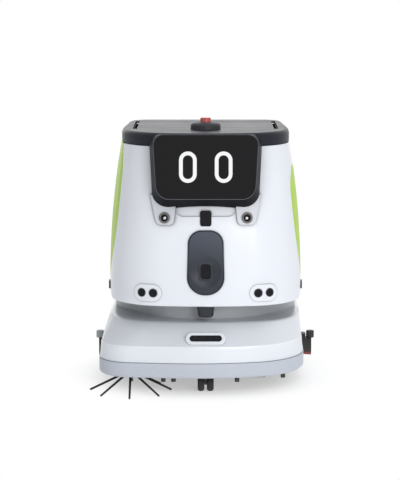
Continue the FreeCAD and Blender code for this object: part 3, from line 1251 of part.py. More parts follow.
def make_squeegee():
    half = SQUEEGEE_DEPTH / 2
    bar = squeegee_band(-half, half, SQUEEGEE_LOW_Z, END_STEP_Z)
    upper_half = END_ROLLER_X - END_ROLLER_R - END_ROOM
    bar = bar.fuse(squeegee_band(-half, half, END_STEP_Z, ARM_Z, upper_half))
    front = squeegee_band(BLADE_IN - half, BLADE_IN - half + BLADE_T, BLADE_CLEAR, BLADE_TOP_Z)
    rear = squeegee_band(half - BLADE_IN - BLADE_T, half - BLADE_IN, BLADE_CLEAR, BLADE_TOP_Z)
    channel = squeegee_band(2 * BLADE_IN - half, half - 2 * BLADE_IN, SQUEEGEE_LOW_Z, BLADE_TOP_Z - BLADE_IN)
    bar = bar.cut(front).cut(rear).cut(channel)
    roller_z = END_STEP_Z + FREE
    roller_y = SQUEEGEE_MID_Y - SQUEEGEE_R + math.sqrt(SQUEEGEE_R ** 2 - END_ROLLER_X ** 2)
    rollers = []
    for side in (1, -1):
        foot = V(side * END_ROLLER_X, roller_y, roller_z)
        top = foot + V(0, 0, END_ROLLER_HEIGHT)
        bar = bar.fuse(rod(foot - V(0, 0, BLADE_IN), top, END_PIN_R))
        roller = rod(foot, top, END_ROLLER_R)
        roller = roller.makeFillet(END_ROLLER_EDGE, [e for e in roller.Edges if e.Closed])
        rollers.append(roller.cut(rod(foot, top, END_PIN_R + RUN)))
    save("squeegee_bar", bar)
    save("squeegee_blades", front, rear)
    save("squeegee_roller_left", rollers[0])
    save("squeegee_roller_right", rollers[1])

    tip = SQUEEGEE_MID_Y + half
    outline = [
        (-PIVOT_HALF, PIVOT_Y, 0), (PIVOT_HALF, PIVOT_Y, 0),
        (ARM_TIP_HALF, tip, ARM_TIP_R), (-ARM_TIP_HALF, tip, ARM_TIP_R),
    ]
    near, far = ARM_WINDOW_Y
    near_x, far_x = ARM_WINDOW_HALF
    window = [
        (-near_x, near, ARM_WINDOW_R), (near_x, near, ARM_WINDOW_R),
        (far_x, far, ARM_WINDOW_R), (-far_x, far, ARM_WINDOW_R),
    ]
    arm = prism(outline, ARM_Z, ARM_Z + ARM_T).cut(prism(window, ARM_Z, ARM_Z + ARM_T))
    barrel_end = V(PIVOT_HALF, 0, 0)
    pivot = V(0, PIVOT_Y, PIVOT_Z)
    arm = arm.fuse(rod(pivot - barrel_end, pivot + barrel_end, PIVOT_BARREL_R))
    port = V(0, SUCTION_Y, ARM_Z + ARM_T)
    arm = arm.fuse(rod(port, port + V(0, 0, SUCTION_BOSS_T), BELLOWS_R))
    arm = arm.cut(rod(pivot - barrel_end, pivot + barrel_end, PIVOT_R + RUN))
    save("squeegee_arm", arm)
    lug_in = PIVOT_HALF + FREE
    lug_out = lug_in + PIVOT_LUG_T
    lugs = []
    pin = rod(pivot - V(lug_out, 0, 0), pivot + V(lug_out, 0, 0), PIVOT_R)
    for side in (1, -1):
        x = sorted((side * lug_in, side * lug_out))
        reach = PIVOT_BARREL_R + BELLOWS_WALL
        lugs.append(block(x, (PIVOT_Y - reach, PIVOT_Y + reach), (PIVOT_Z - reach, PLATE_Z)))
    save("squeegee_pivot", pin.fuse(lugs))

    low = port.z + SUCTION_BOSS_T
    elbow_low = ELBOW_Z - BELLOWS_R
    fold = (elbow_low - low) / BELLOWS_FOLDS
    outside = []
    inside = []
    for i in range(BELLOWS_FOLDS):
        z = low + i * fold
        outside += [(SUCTION_R, z), (BELLOWS_R, z + fold / 2)]
        inside += [(SUCTION_R - BELLOWS_WALL, z), (BELLOWS_R - BELLOWS_WALL, z + fold / 2)]
    outside.append((SUCTION_R, elbow_low))
    inside.append((SUCTION_R - BELLOWS_WALL, elbow_low))
    save("suction_bellows", turned(outside + inside[::-1], V(0, SUCTION_Y, 0), V(0, 0, 1)))
    bend = V(0, SUCTION_Y, ELBOW_Z)
    wall = V(0, BODY_REAR, ELBOW_Z)
    elbow = rod(V(0, SUCTION_Y, elbow_low), bend, SUCTION_R).fuse([
        Part.makeSphere(SUCTION_R, bend), rod(wall, bend, SUCTION_R),
        rod(wall - V(0, WALL, 0), wall + V(0, ELBOW_FLANGE_T, 0), ELBOW_FLANGE_R)])
    save("suction_elbow", elbow.cut(base_form()))


make_screen()
make_cameras()
pill_window = make_pill()
make_sonars()
make_body_shells()
make_belly_and_scanner()
make_top()
make_stop()
make_inside()
nose_window = make_base()
save("sensor_windows", pill_window, nose_window)
make_bumper()
make_chassis()
make_drive_wheels()
make_caster()
make_side_brush()
make_roller()
make_squeegee()
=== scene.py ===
# %% [markdown]
# # A floor-cleaning robot, finished for a studio picture
#
# The robot's pieces come from an engineering model that is already the right size and in the right place.
# This lesson leaves those pieces where they are. It adds the camera and the light, gives every piece a
# finish made from shader nodes, and makes the small things that a shape file leaves out: bristles, tread,
# screws, grilles, the lit screen and the rubber parts.

# %% Load the engineering model
import json
import math

import bmesh
import bpy
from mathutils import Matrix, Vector


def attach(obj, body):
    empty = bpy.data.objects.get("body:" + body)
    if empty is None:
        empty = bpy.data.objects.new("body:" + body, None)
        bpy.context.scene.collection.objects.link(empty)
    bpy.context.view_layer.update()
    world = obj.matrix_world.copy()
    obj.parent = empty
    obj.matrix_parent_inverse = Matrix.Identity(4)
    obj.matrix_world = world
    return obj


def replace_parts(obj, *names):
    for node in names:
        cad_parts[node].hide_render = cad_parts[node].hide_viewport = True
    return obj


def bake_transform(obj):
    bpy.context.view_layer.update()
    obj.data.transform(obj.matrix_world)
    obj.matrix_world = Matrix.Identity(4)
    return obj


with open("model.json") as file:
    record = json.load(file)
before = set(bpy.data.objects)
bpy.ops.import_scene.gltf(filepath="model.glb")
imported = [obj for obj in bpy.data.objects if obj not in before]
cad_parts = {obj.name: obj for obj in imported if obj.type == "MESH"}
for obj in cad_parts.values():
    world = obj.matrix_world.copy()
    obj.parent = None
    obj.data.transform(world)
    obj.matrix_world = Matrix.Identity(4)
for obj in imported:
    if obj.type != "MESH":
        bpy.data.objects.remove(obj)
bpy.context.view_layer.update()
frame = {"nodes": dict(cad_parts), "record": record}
nodes = frame["nodes"]
record = frame["record"]

# %% [markdown]
# ## The camera
#
# The picture was taken with a long lens from about five metres, a little above the robot. A long lens
# keeps upright edges nearly parallel. The focal length is known in picture pixels, and Blender wants
# millimetres on a sensor whose long side is 36 mm, so one is turned into the other.

# %% Camera
def add_object(name, data):
    """Put a mesh, a camera or a lamp into the scene."""
    thing = bpy.data.objects.new(name, data)
    bpy.context.scene.collection.objects.link(thing)
    return thing


PICTURE_HEIGHT = 480
PICTURE_MIDDLE_COLUMN = 200.0
ROBOT_COLUMN = 205.5          # picture column of the robot's middle
FOCAL_PIXELS = 1902.7
SENSOR_SIDE = 36.0            # millimetres
FARTHEST_SEEN = 200.0
CAMERA_DISTANCE = 5.0
CAMERA_HEIGHT = 1.08
CAMERA_PITCH = math.radians(8.2)

camera_data = bpy.data.cameras.new("camera")
camera_data.sensor_width = SENSOR_SIDE
camera_data.lens = FOCAL_PIXELS * SENSOR_SIDE / PICTURE_HEIGHT
camera_data.clip_end = FARTHEST_SEEN
camera = add_object("camera", camera_data)
sideways = (PICTURE_MIDDLE_COLUMN - ROBOT_COLUMN) * CAMERA_DISTANCE / FOCAL_PIXELS
camera.location = (sideways, -CAMERA_DISTANCE, CAMERA_HEIGHT)
camera.rotation_euler = (math.pi / 2 - CAMERA_PITCH, 0.0, 0.0)
bpy.context.scene.camera = camera
print("lens", round(camera_data.lens, 1), "mm")

# %% [markdown]
# ## Floor, backdrop and light
#
# A product picture has a white ground that melts into the background. The floor here is an ordinary pale
# surface close to the robot, so that it takes a soft shadow. Further out it turns into plain white for the
# camera and for reflections only, so it adds no light to the robot. Seen from below it is clear, so that the
# underside can be looked at too. The room gives an even light that is stronger from the right, so hollows
# such as the waist come out darker than open walls, and painted shade in their finishes darkens them
# further. A large low lamp beside the camera lifts the upright walls, and a small one higher up draws a thin
# bright line along rounded edges.

# %% Helpers for node trees
def add_node(tree, kind, inputs=None, **settings):
    """Make a node, set its properties, then set or link its inputs. A node stands for its first output."""
    node = tree.nodes.new(kind)
    for name, value in settings.items():
        setattr(node, name, value)
    for name, value in (inputs or {}).items():
        if isinstance(value, bpy.types.Node):
            value = value.outputs[0]
        if isinstance(value, bpy.types.NodeSocket):
            tree.links.new(value, node.inputs[name])
        else:
            node.inputs[name].default_value = value
    return node


def math_node(tree, operation, first, second=0.0, clamp=False):
    node = add_node(tree, "ShaderNodeMath", {0: first, 1: second}, operation=operation, use_clamp=clamp)
    return node.outputs[0]


def times(tree, first, second, clamp=False):
    return math_node(tree, "MULTIPLY", first, second, clamp)


def axis_part(tree, vector, axis):
    return add_node(tree, "ShaderNodeSeparateXYZ", {0: vector}).outputs[axis]


def object_place(tree):
    return add_node(tree, "ShaderNodeTexCoord").outputs["Object"]


def noise(tree, place, scale, detail=2.0, roughness=0.5):
    """A soft random value at every place."""
    node = add_node(tree, "ShaderNodeTexNoise", {
        "Vector": place, "Scale": scale, "Detail": detail, "Roughness": roughness})
    return node.outputs["Fac"]


def ranged(tree, value, old=(0.0, 1.0), new=(0.0, 1.0), curve="LINEAR"):
    """A value moved from the old range to the new one and held inside it."""
    node = add_node(tree, "ShaderNodeMapRange", {
        "Value": value, "From Min": old[0], "From Max": old[1], "To Min": new[0], "To Max": new[1],
    }, interpolation_type=curve)
    return node.outputs["Result"]


def scale_vector(tree, vector, factor):
    return add_node(tree, "ShaderNodeVectorMath", {0: vector, "Scale": factor}, operation="SCALE")


def ray_to_eye(tree):
    """1 for what the camera sees, straight or in a reflection or through glass, and 0 for light."""
    path = add_node(tree, "ShaderNodeLightPath")
    seen = math_node(tree, "ADD", path.outputs["Is Camera Ray"], path.outputs["Is Glossy Ray"], True)
    return math_node(tree, "ADD", seen, path.outputs["Is Transmission Ray"], True)


# %% Floor
FLOOR_HALF = 60.0
FLOOR_PALE = 0.84
FLOOR_UNEVEN = 0.01           # paler and darker specks
SPECKS_PER_METRE = 60.0
FLOOR_GLOW = 0.42             # the floor is a light table, which keeps its shadows pale
WHITE = (1.0, 1.0, 1.0, 1.0)
SHADOW_REACH = (0.20, 0.40)   # metres from the robot's middle over which the floor turns white

floor_material = bpy.data.materials.new("stage_floor")
floor_material.use_nodes = True
tree = floor_material.node_tree
tree.nodes.clear()
place = object_place(tree)
distance = add_node(tree, "ShaderNodeVectorMath", {0: place}, operation="LENGTH").outputs["Value"]
fade = ranged(tree, distance, SHADOW_REACH, curve="SMOOTHSTEP")
tones = (FLOOR_PALE - FLOOR_UNEVEN, FLOOR_PALE + FLOOR_UNEVEN)
tone = ranged(tree, noise(tree, place, SPECKS_PER_METRE), new=tones)
paint = add_node(tree, "ShaderNodeBsdfPrincipled", {
    "Base Color": tone, "Roughness": 0.9, "Emission Color": WHITE, "Emission Strength": FLOOR_GLOW})
white = add_node(tree, "ShaderNodeEmission", {"Strength": 1.0})
share = times(tree, ray_to_eye(tree), fade)
mixed = add_node(tree, "ShaderNodeMixShader", {0: share, 1: paint, 2: white})
clear = add_node(tree, "ShaderNodeBsdfTransparent")
from_below = add_node(tree, "ShaderNodeNewGeometry").outputs["Backfacing"]
one_way = add_node(tree, "ShaderNodeMixShader", {0: from_below, 1: mixed, 2: clear})
add_node(tree, "ShaderNodeOutputMaterial", {"Surface": one_way})

floor_mesh = bpy.data.meshes.new("stage_floor")
corners = [(x * FLOOR_HALF, y * FLOOR_HALF, 0) for x, y in ((-1, -1), (1, -1), (1, 1), (-1, 1))]
floor_mesh.from_pydata(corners, [], [(0, 1, 2, 3)])
floor_mesh.materials.append(floor_material)
floor = add_object("stage_floor", floor_mesh)
print("floor", 2 * FLOOR_HALF, "metres wide")

# %% World and lamps
WORLD_LIGHT = (0.25, 0.62)    # strength at the left and at the right of the camera
ROOM_TINT = (0.93, 0.96, 1.0, 1.0)
world = bpy.data.worlds.new("studio")
bpy.context.scene.world = world
world.use_nodes = True
tree = world.node_tree
tree.nodes.clear()
way = add_node(tree, "ShaderNodeTexCoord").outputs["Generated"]
across = axis_part(tree, way, "X")
level = ranged(tree, across, (-1.0, 1.0), WORLD_LIGHT)
room = add_node(tree, "ShaderNodeBackground", {"Color": ROOM_TINT, "Strength": level})
backdrop = add_node(tree, "ShaderNodeBackground", {"Color": WHITE, "Strength": 1.0})
mixed = add_node(tree, "ShaderNodeMixShader", {0: ray_to_eye(tree), 1: room, 2: backdrop})
add_node(tree, "ShaderNodeOutputWorld", {"Surface": mixed})

LAMP_AIM = Vector((0.0, 0.0, 0.35))


def add_lamp(name, place, size, power):
    """A large square lamp that faces the robot's middle."""
    data = bpy.data.lights.new(name, "AREA")
    data.size = size
    data.energy = power
    lamp = add_object(name, data)
    lamp.location = place
    lamp.rotation_euler = (LAMP_AIM - lamp.location).to_track_quat("-Z", "Y").to_euler()


add_lamp("main_lamp", (1.4, -3.6, 1.1), 1.4, 42.0)
add_lamp("strip_lamp", (0.4, -3.4, 2.2), 0.5, 14.0)
add_lamp("top_lamp", (0.2, 0.4, 3.6), 2.0, 6.0)
add_lamp("rear_lamp", (-0.3, 3.6, 1.2), 2.4, 19.0)
bpy.context.scene.view_settings.view_transform = "Standard"
print("stage ready")

# %% [markdown]
# ## Finishes
#
# Moulded plastic is never one flat colour. Its skin has a fine grain from the mould, its gloss changes a
# little from place to place, its edges are rounded and get rubbed, and a machine that drives on floors
# gathers dust low down. White covers also get painted shade: their colour is darkened where another piece
# stands close. Several materials share these effects, so each effect is a node group with named inputs, and
# every material uses it with its own values. Object coordinates are used because every piece sits at the
# origin, so a pattern is at true scale on all of them.

# %% Node group for the skin of a moulding
def new_group(name, inputs, outputs):
    """Shader node group. A number makes a value socket, three numbers a vector and four a colour."""
    kinds = {3: "NodeSocketVector", 4: "NodeSocketColor"}
    group = bpy.data.node_groups.new(name, "ShaderNodeTree")
    for side, sockets in (("INPUT", inputs), ("OUTPUT", outputs)):
        for socket, value in sockets.items():
            kind = kinds[len(value)] if isinstance(value, tuple) else "NodeSocketFloat"
            made = group.interface.new_socket(socket, in_out=side, socket_type=kind)
            made.default_value = value
    return group, add_node(group, "NodeGroupInput").outputs


skin_group, given = new_group(
    "surface_skin",
    {"Grain Scale": 900.0, "Stretch": (1.0, 1.0, 1.0), "Gloss": 0.4, "Gloss Change": 0.1},
    {"Height": 0.0, "Roughness": 0.4})
place = object_place(skin_group)
drawn = add_node(skin_group, "ShaderNodeVectorMath", {0: place, 1: given["Stretch"]}, operation="MULTIPLY")
fine = noise(skin_group, drawn, given["Grain Scale"], detail=3.0)
patchy = math_node(skin_group, "SUBTRACT", noise(skin_group, place, scale=14.0, detail=4.0), 0.5)
change = times(skin_group, patchy, given["Gloss Change"])
rough = math_node(skin_group, "ADD", change, given["Gloss"])
add_node(skin_group, "NodeGroupOutput", {"Height": fine, "Roughness": rough})

# %% Node group for dust and uneven colour
GREY = (0.5, 0.5, 0.5, 1.0)   # starting colour of the sockets
COLOUR_CHANGE = (0.98, 1.02)
dust_group, given = new_group(
    "floor_dust",
    {"Color": GREY, "Dust": (0.42, 0.40, 0.37, 1.0), "Top": 0.12, "Amount": 0.3},
    {"Color": GREY})
place = object_place(dust_group)
height = axis_part(dust_group, place, "Z")
low = ranged(dust_group, height, (given["Top"], 0.0), curve="SMOOTHSTEP")
cloud = noise(dust_group, place, scale=22.0, detail=6.0, roughness=0.65)
patch = times(dust_group, low, cloud)
cover = times(dust_group, patch, given["Amount"], True)
tone = ranged(dust_group, noise(dust_group, place, scale=5.0, detail=3.0), new=COLOUR_CHANGE)
toned = scale_vector(dust_group, given["Color"], tone)
dusty = add_node(dust_group, "ShaderNodeMix", {"Factor": cover, 6: toned, 7: given["Dust"]}, data_type="RGBA")
add_node(dust_group, "NodeGroupOutput", {"Color": dusty.outputs[2]})

# %% Node group for rounded and rubbed edges
BENT = (0.99, 0.80)           # likeness of the two normals where an edge starts, and where it is full
edge_group, given = new_group(
    "rubbed_edges",
    {"Radius": 0.001, "Wear": 0.2, "Color": GREY, "Rubbed": (0.8, 0.8, 0.8, 1.0)},
    {"Normal": (0.0, 0.0, 1.0), "Color": GREY})
rounded = add_node(edge_group, "ShaderNodeBevel", {"Radius": given["Radius"]}, samples=4)
plain = add_node(edge_group, "ShaderNodeNewGeometry").outputs["Normal"]
alike = add_node(edge_group, "ShaderNodeVectorMath", {0: rounded, 1: plain}, operation="DOT_PRODUCT")
bent = ranged(edge_group, alike.outputs["Value"], BENT)
chips = noise(edge_group, object_place(edge_group), scale=60.0, detail=5.0)
worn = times(edge_group, bent, chips)
share = times(edge_group, worn, given["Wear"], True)
mixed = add_node(edge_group, "ShaderNodeMix", {
    "Factor": share, 6: given["Color"], 7: given["Rubbed"]}, data_type="RGBA")
add_node(edge_group, "NodeGroupOutput", {"Color": mixed.outputs[2], "Normal": rounded})

# %% Node group for painted shade in hollows
# Painted shade: where other pieces stand close and little of the view is open, the colour is darkened.
PAINTED_SHADE_FULL = 0.62            # open share of the view at which a hollow is darkest
painted_shade_group, given = new_group(
    "hollow_shade",
    {"Color": GREY, "Reach": 0.05, "Amount": 0.3},
    {"Color": GREY})
openness = add_node(painted_shade_group, "ShaderNodeAmbientOcclusion", {"Distance": given["Reach"]}, samples=8)
darkest = math_node(painted_shade_group, "SUBTRACT", 1.0, given["Amount"])
shade = ranged(painted_shade_group, openness.outputs["AO"], (PAINTED_SHADE_FULL, 1.0), (darkest, 1.0))
add_node(painted_shade_group, "NodeGroupOutput", {"Color": scale_vector(painted_shade_group, given["Color"], shade)})
print("node groups", [group.name for group in bpy.data.node_groups])

# %% One function for all moulded, painted and metal finishes
EDGE_RADIUS = 0.0012
# Painted shade: pieces nearer than this darken the colour of a surface.
PAINTED_SHADE_REACH = 0.06           # pieces nearer than this make a surface look hollow
RUBBED_LIFT, RUBBED_LEAST, RUBBED_MOST = 2.2, 0.01, 0.9   # how much lighter rubbed edges are
GRAIN_STEP = 0.001            # a grain of depth 1 is this deep


def finish(name, colour, gloss, grain=900.0, depth=0.04, change=0.1, dust=0.25, dust_top=0.12, wear=0.25,
           stretch=(1.0, 1.0, 1.0), painted_shade=0.0, specular=0.5, **shader):
    """Material with grain, uneven gloss, dust, rubbed edges and painted shade in hollows. Other values go to the
    shader's sockets.
    """
    material = bpy.data.materials.new(name)
    material.use_nodes = True
    tree = material.node_tree
    surface = tree.nodes["Principled BSDF"]
    surface.inputs["Specular IOR Level"].default_value = specular
    for socket, value in shader.items():
        surface.inputs[socket.replace("_", " ")].default_value = value
    rubbed = [min(RUBBED_MOST, part * RUBBED_LIFT + RUBBED_LEAST) for part in colour]
    edges = add_node(tree, "ShaderNodeGroup", {
        "Radius": EDGE_RADIUS, "Wear": wear, "Color": (*colour, 1.0), "Rubbed": (*rubbed, 1.0)},
        node_tree=edge_group)
    dusty = add_node(tree, "ShaderNodeGroup", {
        "Color": edges.outputs["Color"], "Amount": dust, "Top": dust_top}, node_tree=dust_group)
    skin = add_node(tree, "ShaderNodeGroup", {
        "Grain Scale": grain, "Stretch": stretch, "Gloss": gloss, "Gloss Change": change}, node_tree=skin_group)
    bump = add_node(tree, "ShaderNodeBump", {
        "Height": skin.outputs["Height"], "Normal": edges.outputs["Normal"], "Strength": depth,
        "Distance": GRAIN_STEP})
    paint = dusty.outputs["Color"]
    # Painted shade: the colour is darkened where other pieces stand close.
    if painted_shade:
        deep = add_node(tree, "ShaderNodeGroup", {
            "Color": paint, "Reach": PAINTED_SHADE_REACH, "Amount": painted_shade}, node_tree=painted_shade_group)
        paint = deep.outputs["Color"]
    tree.links.new(paint, surface.inputs["Base Color"])
    tree.links.new(skin.outputs["Roughness"], surface.inputs["Roughness"])
    tree.links.new(bump.outputs["Normal"], surface.inputs["Normal"])
    return material


# %% [markdown]
# The record lists a material slot for every piece. Each slot gets one finish here. Colours are linear
# values, so a mid grey on the screen is about 0.2. The satin white of the covers stays well under 1,
# because a real white cover is never as bright as the paper behind it. Dark plastics have a low specular
# level: in a white room a stronger reflection would turn them grey. The numbers after each colour are the
# gloss, the grain's fineness and depth, the change of gloss, the dust and the height that the dust reaches.

# %% Finishes of the covers
DIM = 0.22                    # specular level of dark plastics
finishes = {
    "white_cover": finish("satin_white", (0.80, 0.82, 0.87), 0.36, 700.0, 0.02, 0.08, 0.10, wear=0.0, painted_shade=0.58,
                          Coat_Weight=0.2, Coat_Roughness=0.12),
    "pale_base": finish("satin_pale_grey", (0.79, 0.82, 0.87), 0.38, 700.0, 0.02, 0.08, 0.20, 0.16, wear=0.0,
                        painted_shade=0.12, Coat_Weight=0.35, Coat_Roughness=0.12),
    "bumper_grey": finish("soft_grey_bumper", (0.52, 0.555, 0.62), 0.50, 1100.0, 0.06, 0.10, 0.35, 0.10, wear=0.0),
    "lime_cover": finish("lime_moulding", (0.43, 0.66, 0.034), 0.45, 700.0, 0.02, 0.08, 0.05, wear=0.1,
                         specular=0.3),
    "dark_slate": finish("dark_slate_moulding", (0.016, 0.018, 0.026), 0.42, 1300.0, 0.08, 0.12, 0.2,
                         specular=DIM * 0.7),
    "pill_slate": finish("slate_panel", (0.040, 0.045, 0.058), 0.36, 1300.0, 0.06, 0.10, 0.1, specular=DIM),
    "black_plastic": finish("grained_black", (0.014, 0.015, 0.017), 0.46, 1300.0, 0.10, 0.12, 0.3, specular=DIM / 2),
    "screen_black": finish("display_cover", (0.006, 0.006, 0.007), 0.07, 300.0, 0.0, 0.05, 0.0, wear=0.0,
                           specular=0.18),
    "lens_glass": finish("dark_lens", (0.006, 0.006, 0.008), 0.05, 300.0, 0.0, 0.03, 0.0, wear=0.0, specular=0.2),
    "sensor_face": finish("sensor_face", (0.030, 0.030, 0.038), 0.55, 1600.0, 0.15, 0.1, 0.1, specular=DIM),
    "stop_red": finish("red_button", (0.55, 0.085, 0.075), 0.30, 600.0, 0.02, 0.08, 0.0, Coat_Weight=0.1),
}
print("cover finishes", list(finishes))

# %% Finishes of metals, tanks and rubber
TURNED = (1.0, 1.0, 14.0)     # fine lines round an upright axis
DRAWN = (0.06, 1.0, 1.0)      # fine lines along X
finishes.update({
    "lens_ring": finish("graphite_ring", (0.15, 0.145, 0.14), 0.30, 500.0, 0.05, 0.1, 0.0, stretch=TURNED),
    "motor_steel": finish("motor_can", (0.46, 0.46, 0.47), 0.36, 500.0, 0.06, 0.15, 0.2, stretch=TURNED,
                          Metallic=1.0),
    "bright_steel": finish("bright_steel", (0.56, 0.56, 0.57), 0.30, 500.0, 0.06, 0.15, 0.2, stretch=DRAWN,
                           Metallic=1.0),
    "contact_brass": finish("plated_contact", (0.70, 0.52, 0.24), 0.28, 500.0, 0.04, 0.15, 0.1, stretch=DRAWN,
                            Metallic=1.0),
    "chassis_steel": finish("powder_coat", (0.045, 0.048, 0.052), 0.55, 1800.0, 0.25, 0.1, 0.5, 0.16, wear=0.4),
    "tank_blue": finish("milky_tank", (0.45, 0.55, 0.62), 0.45, 500.0, 0.05, 0.1, 0.0, wear=0.1),
    "tank_grey": finish("grey_tank", (0.32, 0.34, 0.37), 0.48, 500.0, 0.05, 0.1, 0.0, wear=0.1),
    "board_green": finish("circuit_board", (0.015, 0.11, 0.05), 0.35, 900.0, 0.05, 0.1, 0.0),
    "wheel_grey": finish("wheel_moulding", (0.10, 0.105, 0.11), 0.48, 1100.0, 0.08, 0.1, 0.6, 0.17),
    "tyre_black": finish("tyre_rubber", (0.018, 0.018, 0.018), 0.72, 800.0, 0.30, 0.15, 0.8, 0.17, specular=DIM),
    "caster_black": finish("caster_rubber", (0.018, 0.018, 0.020), 0.60, 800.0, 0.20, 0.15, 0.12, 0.05, specular=DIM),
    "bristle_black": finish("black_nylon", (0.010, 0.010, 0.011), 0.50, 600.0, 0.05, 0.1, 0.2, 0.05, wear=0.0,
                            specular=DIM),
    "roller_blue": finish("blue_black_nylon", (0.03, 0.06, 0.11), 0.55, 600.0, 0.05, 0.1, 0.5, 0.09, wear=0.0),
    "blade_red": finish("blade_rubber", (0.30, 0.035, 0.030), 0.50, 700.0, 0.08, 0.1, 0.3, 0.02),
    "hose_black": finish("hose_rubber", (0.022, 0.022, 0.025), 0.52, 900.0, 0.10, 0.1, 0.2, specular=DIM),
    "roller_pale": finish("pale_roller", (0.36, 0.40, 0.40), 0.55, 900.0, 0.08, 0.1, 0.3, 0.09),
})
print("all finishes", len(finishes))

# %% [markdown]
# A few pieces share a slot with others but look different on the machine: the frame of the screen is matt, and
# the scanner's cover is glossy. The waist and the camera pods lie in shade, so they get darker copies of
# their white as painted shade. Each of them gets a finish of its own.

# %% Put the finishes on the pieces
own_finishes = {
    # Painted shade: the waist's white is given as a darker grey because the waist lies in shade.
    "waist_core": finish("waist_painted_shade", (0.52, 0.54, 0.57), 0.42, 700.0, 0.02, 0.08, 0.1, wear=0.0, painted_shade=0.12),
    "screen_housing": finish("screen_frame", (0.010, 0.011, 0.014), 0.40, 1300.0, 0.08, 0.12, 0.0, wear=0.0,
                             specular=DIM / 4),
    "lidar_housing": finish("scanner_cover", (0.022, 0.025, 0.034), 0.22, 900.0, 0.02, 0.1, 0.0, specular=DIM,
                            Coat_Weight=0.3),
    "estop_base": finish("stop_collar", (0.050, 0.050, 0.058), 0.46, 1300.0, 0.08, 0.12, 0.1, specular=DIM),
    "front_camera_housing": finishes["lens_glass"],
    # Painted shade: the pods' white is darker because they lie in shade under the screen.
    "camera_pods": finish("pod_white_painted_shade", (0.64, 0.66, 0.70), 0.38, 700.0, 0.02, 0.08, 0.0, wear=0.0, painted_shade=0.58),
}
for part in record["subparts"]:
    materials = nodes[part["node"]].data.materials
    materials.clear()
    materials.append(own_finishes.get(part["node"], finishes[part["material_slot"]]))
print("finished", len(record["subparts"]), "pieces,", len(own_finishes), "of them in their own way")

# %% [markdown]
# The sensor panel is lacquered, and its curved top leans back and mirrors the room. A plain colour looks flat
# there, so a painted sheen makes the colour paler with height.

# %% Painted sheen of the sensor panel
# Painted sheen: the colour grows paler towards the top, standing in for the room mirrored in the lacquer.
PAINTED_SHEEN_Z, PAINTED_SHEEN = (0.310, 0.415), (0.84, 1.75)   # heights, and how strong the colour is there
tree = finishes["pill_slate"].node_tree
surface = tree.nodes["Principled BSDF"]
paint = surface.inputs["Base Color"].links[0].from_socket
height = axis_part(tree, object_place(tree), "Z")
painted_sheen_lift = ranged(tree, height, PAINTED_SHEEN_Z, PAINTED_SHEEN, "SMOOTHSTEP")
tree.links.new(scale_vector(tree, paint, painted_sheen_lift).outputs[0], surface.inputs["Base Color"])
print("sheen from", PAINTED_SHEEN_Z[0], "to", PAINTED_SHEEN_Z[1], "metres")

# %% [markdown]
# ## Small pieces that repeat
#
# Screws, bristles, tread blocks and wire grilles are one small shape again and again. Geometry Nodes is made
# for that: a tree shapes the thing once, and named inputs set its sizes. The places come from the robot
# itself: a straight line is cast at a piece, and where it lands gives the spot and the way the surface faces.
# Each result becomes a plain mesh that rides on one moving body.

# %% Helpers for Geometry Nodes
def new_tree(name, sizes):
    """Geometry node tree with a named input for each size. Whole numbers make whole-number inputs."""
    tree = bpy.data.node_groups.new(name, "GeometryNodeTree")
    tree.interface.new_socket("Geometry", in_out="INPUT", socket_type="NodeSocketGeometry")
    for socket, value in sizes.items():
        kind = "NodeSocketInt" if isinstance(value, int) else "NodeSocketFloat"
        tree.interface.new_socket(socket, in_out="INPUT", socket_type=kind).default_value = value
    tree.interface.new_socket("Material", in_out="INPUT", socket_type="NodeSocketMaterial")
    tree.interface.new_socket("Geometry", in_out="OUTPUT", socket_type="NodeSocketGeometry")
    return tree, add_node(tree, "NodeGroupInput").outputs


def close_tree(tree, given, shape):
    """Give the shape the material and make it the tree's result."""
    real = add_node(tree, "GeometryNodeRealizeInstances", {"Geometry": shape})
    painted = add_node(tree, "GeometryNodeSetMaterial", {"Geometry": real, "Material": given["Material"]})
    add_node(tree, "NodeGroupOutput", {"Geometry": painted})
    print("tree", tree.name, "of", len(tree.nodes), "nodes")


def end_tree(tree, given, shape):
    """Put the shape on every point, turned to the point's facing, and close the tree."""
    way = add_node(tree, "GeometryNodeInputNamedAttribute", {"Name": "facing"}, data_type="FLOAT_VECTOR")
    turn = add_node(tree, "FunctionNodeAlignRotationToVector", {"Vector": way.outputs["Attribute"]}, axis="Z")
    copies = add_node(tree, "GeometryNodeInstanceOnPoints", {
        "Points": given["Geometry"], "Instance": shape, "Rotation": turn.outputs["Rotation"]})
    close_tree(tree, given, copies)


# %% Helpers that place pieces
SHARP = math.radians(38.0)    # edges bent more than this stay crisp


def settle(piece, body):
    """Shade a finished piece and let it ride on a body."""
    piece.data.shade_smooth()
    piece.data.set_sharp_from_angle(angle=SHARP)
    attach(piece, body)
    print(piece.name, "on", body, len(piece.data.polygons), "faces")
    return piece


def grow(name, tree, body, slot, places, sizes, material=None, links=()):
    """Run a tree on points that have a facing, linked in lines or not, and keep a plain mesh."""
    seeds = bpy.data.meshes.new(name)
    seeds.from_pydata([place for place, _ in places], links, [])
    facing = seeds.attributes.new("facing", "FLOAT_VECTOR", "POINT")
    facing.data.foreach_set("vector", [part for _, way in places for part in way])
    piece = add_object(name, seeds)
    modifier = piece.modifiers.new(name, "NODES")
    modifier.node_group = tree
    values = {**sizes, "Material": material or finishes[slot]}
    for socket in tree.interface.items_tree:
        if socket.in_out == "INPUT" and socket.name in values:
            modifier[socket.identifier] = values[socket.name]
    shaped = piece.evaluated_get(bpy.context.evaluated_depsgraph_get())
    piece.data = bpy.data.meshes.new_from_object(shaped)
    piece.modifiers.clear()
    return settle(piece, body)


